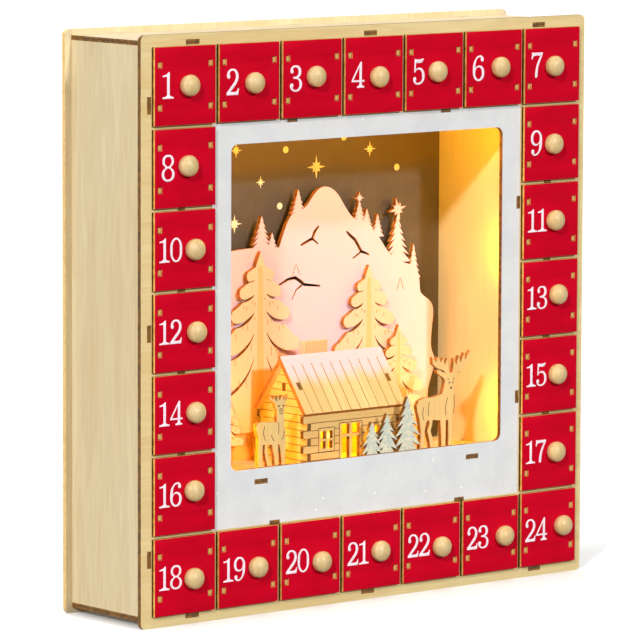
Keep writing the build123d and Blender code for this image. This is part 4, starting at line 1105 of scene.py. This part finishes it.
burnt_ink = ink_look("burnt_line", rgb(96, 56, 18), rgb(134, 84, 32), 0.7)
plank_ink = ink_look("plank_line", rgb(146, 122, 42), rgb(166, 140, 58), 0.7)
for name, lines, width, ink, to_space in (
    ("cabin_wall_lines", wall_lines, ENGRAVED_WIDTH, burnt_ink, on_front(CABIN_FRONT_Y)),
    ("cabin_left_gable_lines", gable_lines, ENGRAVED_WIDTH, burnt_ink, on_gable(-1)),
    ("cabin_right_gable_lines", gable_lines, ENGRAVED_WIDTH, burnt_ink, on_gable(1)),
    ("cabin_roof_lines", plank_lines, PLANK_WIDTH, plank_ink, on_front_roof),
):
    piece(name, line_work(name, lines, width, to_space), ink)

# Burnt line work of the deer: faces and a few lines on the bodies
STAG_LINES = [
    [(47.2, 91.5), (46.9, 95), (47.6, 99)],
    [(43.6, 96.5), (43, 92.5), (44, 89.5)],
    [(59.2, 91), (59, 95.5), (60.4, 100.5)],
    [(64.6, 91.5), (65.2, 96), (65, 101.5)],
    [(61.4, 109.6), (60.4, 110.6)],
    [(64.2, 109.6), (65.2, 110.6)],
]
FAWN_LINES = [
    [(-64.4, 95.8), (-65.2, 92), (-63.8, 88.2)],
    [(-59.8, 91), (-59.2, 89), (-57.8, 87.6)],
    [(-55.2, 97.2), (-54.8, 94), (-55.2, 90.8)],
    [(-51.3, 92.6), (-51.6, 89.6), (-53, 87.8)],
    arc(-53.4, 102.4, 1.1, 205, 335, 6),
    arc(-53.4, 103.3, 0.95, 0, 360, 14, 0.7),
    [(-57.6, 109.8), (-56, 108)],
    [(-49.4, 109.8), (-50.8, 108)],
]
STAG_DOTS = [(61.6, 108.2, 0.5), (64, 108.2, 0.5), (62.8, 105.4, 0.7)]
FAWN_DOTS = [(-54.9, 105.4, 0.6), (-51.9, 105.4, 0.6)]
for name, lines, dots in (("stag_lines", STAG_LINES, STAG_DOTS), ("fawn_lines", FAWN_LINES, FAWN_DOTS)):
    drawing = line_work(name, lines, ENGRAVED_WIDTH, on_front(DEER_Y))
    spots = plate(name, [dot(*spot) for spot in dots], 2 * LINE_RISE)
    spots.transform(Matrix.Translation((0.0, (DEER_Y + LINE_RISE) * MM, 0.0)))
    piece(name, merged([drawing, spots], name), burnt_ink)

# Pines as in the model: middle, half width, height, tiers, share where it is widest, and depth
PINES = {
    "left_pine": (-29.5, 36.0, 110.0, 6, 0.53, TREES_Y),
    "centre_pine": (45.0, 35.0, 98.0, 6, 0.58, TREES_Y),
    "right_pine": (63.0, 23.0, 65.0, 5, 0.62, NEAR_TREES_Y),
    "small_pine": (-53.0, 9.5, 33.0, 5, 0.6, NEAR_TREES_Y),
}
TIER_LEAD = 3.3
TIER_END = 5.7
LOBE_DROOP = 0.13
DROOP_POWER = 1.3
TRUNK_SHARES = (0.085, 0.035)
TRUNK_FOOT = 1.0
TRUNK_TOP = 0.93
DRAWN_WIDTH = 0.36

# Needles, where no length is given in shares of the reach of their branch
NEEDLE_WIDTH = 0.5
NEEDLE_DROP = 1.6
NEEDLE_SHARES = (0.24, 0.42, 0.63, 0.8)
NEEDLE_TURNS = 5
NEEDLE_LENGTH = 0.07
NEEDLE_GROWTH = 0.025
NEEDLE_SWAY = 0.02
NEEDLE_STAGGER = 0.04
NEEDLE_LEAN = 0.03


def needle_lines(x, half_width, height, tiers, widest):
    """Short upright lines that hang under each row of a pine's branches."""
    scale = height / (tiers + TIER_END) ** 2
    lines = []
    for tier in range(2, tiers):
        depth = scale * (tier + TIER_LEAD) ** 2
        reach = half_width * min(1.0, depth / (widest * height))
        branch_top = FLOOR_Z + height - depth - NEEDLE_DROP
        for side in (-1, 1):
            for order, share in enumerate(NEEDLE_SHARES):
                turn = (3 * order + 2 * tier + side) % NEEDLE_TURNS
                length = (NEEDLE_LENGTH + NEEDLE_GROWTH * turn) * reach
                across = x + side * (share + NEEDLE_SWAY * (turn - NEEDLE_TURNS // 2)) * reach
                drop = (LOBE_DROOP * tier * share ** DROOP_POWER + NEEDLE_STAGGER * turn) * reach
                top = branch_top - drop
                end = (across - NEEDLE_LEAN * side * length, top - length)
                lines.append([(across, top), end])
    return lines


trunk_tan = ink_look("trunk_tan", rgb(230, 180, 120), rgb(238, 192, 134), 0.6)
needle_amber = ink_look("needle_amber", rgb(196, 136, 56), rgb(216, 162, 84), 0.7)
for name, (x, half_width, height, tiers, widest, y) in PINES.items():
    foot_half, top_half = [share * half_width for share in TRUNK_SHARES]
    foot = FLOOR_Z + TRUNK_FOOT
    top = FLOOR_Z + TRUNK_TOP * height
    trunk = [(x - foot_half, foot), (x + foot_half, foot), (x + top_half, top), (x - top_half, top)]
    trunk_mesh = plate(f"{name}_trunk", [corners(trunk)], 2 * LINE_RISE)
    piece(f"{name}_trunk", trunk_mesh, trunk_tan, spot=(0.0, y + LINE_RISE, 0.0))
    needles = needle_lines(x, half_width, height, tiers, widest)
    needle_mesh = line_work(f"{name}_needles", needles, NEEDLE_WIDTH, on_front(y))
    piece(f"{name}_needles", needle_mesh, needle_amber)

# Little trees drawn on the mountain: middle, foot, height and half width
LITTLE_TREES = ((-2.6, 164.4, 7.0, 3.2), (69.8, 152.0, 7.0, 3.0))
LITTLE_TREE_SIDE = ((0.0, 1.0), (0.42, 0.68), (0.2, 0.68), (0.72, 0.36), (0.4, 0.36), (1.0, 0.06))
tree_lines = []
for x, z, height, half_width in LITTLE_TREES:
    for side in (-1, 1):
        outline = [(x + side * across * half_width, z + up * height) for across, up in LITTLE_TREE_SIDE]
        tree_lines += legs(outline)
tree_mesh = line_work("mountain_drawing", tree_lines, DRAWN_WIDTH, on_front(MOUNTAIN_Y))
drawn_ink = ink_look("drawn_ink", rgb(142, 122, 84), rgb(162, 140, 100), 0.7)
piece("mountain_drawing", tree_mesh, drawn_ink)

# Camera, fitted to the photograph: lengths in millimetres, focal length in pixels
CAMERA_AZIMUTH = radians(-39.833)
CAMERA_ELEVATION = radians(6.742)
CAMERA_ROLL = radians(0.216)
CAMERA_DISTANCE = 2727.35
CAMERA_FOCAL = 5255.17
IMAGE_SIZE = 640
AIM_RIGHT = -25.466
AIM_UP = -3.428
SENSOR = 36.0


def direction(azimuth, elevation):
    """Where something stands, seen from the calendar; azimuth 0 is straight in front of it."""
    level = cos(elevation)
    return Vector((sin(azimuth) * level, -cos(azimuth) * level, sin(elevation)))


right = Vector((cos(CAMERA_AZIMUTH), sin(CAMERA_AZIMUTH), 0.0))
back = direction(CAMERA_AZIMUTH, CAMERA_ELEVATION)
up = back.cross(right)
aim = Vector((0.0, FRONT_Y, MIDDLE_Z)) + right * AIM_RIGHT + up * AIM_UP
spot = (aim + back * CAMERA_DISTANCE) * MM
turn = Matrix((right, up, back)).transposed().to_4x4() @ Matrix.Rotation(CAMERA_ROLL, 4, "Z")
camera_data = bpy.data.cameras.new("camera")
camera_data.sensor_width = SENSOR
camera_data.lens = CAMERA_FOCAL * SENSOR / IMAGE_SIZE
camera = add_object("camera", camera_data)
camera.matrix_world = Matrix.Translation(spot) @ turn
scene.camera = camera

# Floor, which is only a backdrop and throws no light up on the calendar; its half width in metres
FLOOR_HALF = 20.0
FLOOR_TILES = 8
floor_shell = bmesh.new()
bmesh.ops.create_grid(floor_shell, x_segments=FLOOR_TILES, y_segments=FLOOR_TILES, size=FLOOR_HALF)
floor_mesh = to_mesh(floor_shell, "floor")
floor_look = Look("floor_paper")
paper = floor_look.noise(0.02)
paper = floor_look.mix(paper, rgb(249, 249, 249), rgb(253, 253, 253))
floor_mesh.materials.append(floor_look.finish(paper, 0.8))
floor = add_object("floor", floor_mesh)
floor.visible_diffuse = False

# Studio light: azimuth, elevation, strength and softness of each sun, with angles in degrees
SUNS = {
    "front": (3.0, 23.3, 2.05, 4.0),
    "left": (-55.0, 28.0, 1.85, 4.0),
    "side": (-95.0, 15.0, 1.4, 40.0),
    "overhead": (0.0, 88.0, 1.3, 30.0),
    "back": (165.0, 22.0, 1.5, 40.0),
}
WORLD_STRENGTH = 0.12
for name, (azimuth, elevation, strength, softness) in SUNS.items():
    sun = bpy.data.lights.new(name, "SUN")
    sun.energy = strength
    sun.angle = radians(softness)
    lamp = add_object(name, sun)
    lamp.rotation_mode = "QUATERNION"
    toward = direction(radians(azimuth), radians(elevation))
    lamp.rotation_quaternion = toward.to_track_quat("Z", "Y")
world = bpy.data.worlds.new("studio")
world.use_nodes = True
background = world.node_tree.nodes["Background"]
background.inputs["Color"].default_value = (1.0, 1.0, 1.0, 1.0)
background.inputs["Strength"].default_value = WORLD_STRENGTH
scene.world = world
scene.view_settings.view_transform = "Standard"

# Warm light of the LED drops at the sides, in the cabin and along the top: place and watts
LED_COLOUR = (1.0, 0.52, 0.012)
LED_RADIUS = 2.6
LEDS = (
    (-WIRE_X, WIRE_Y, 92.0, 0.75),
    (-WIRE_X, WIRE_Y, 175.0, 0.12),
    (WIRE_X, WIRE_Y, 92.0, 0.32),
    (WIRE_X, WIRE_Y, 175.0, 0.28),
    (0.0, RIDGE_Y, 96.0, 0.085),
    (-62.0, WIRE_Y, WIRE_TOP, 0.35),
    (0.0, WIRE_Y, WIRE_TOP, 0.35),
    (62.0, WIRE_Y, WIRE_TOP, 0.35),
)
for index, (*led_spot, power) in enumerate(LEDS):
    led = bpy.data.lights.new(f"led_{index}", "POINT")
    led.energy = power
    led.color = LED_COLOUR
    led.shadow_soft_size = LED_RADIUS * MM
    add_object(f"led_{index}", led).location = Vector(led_spot) * MM
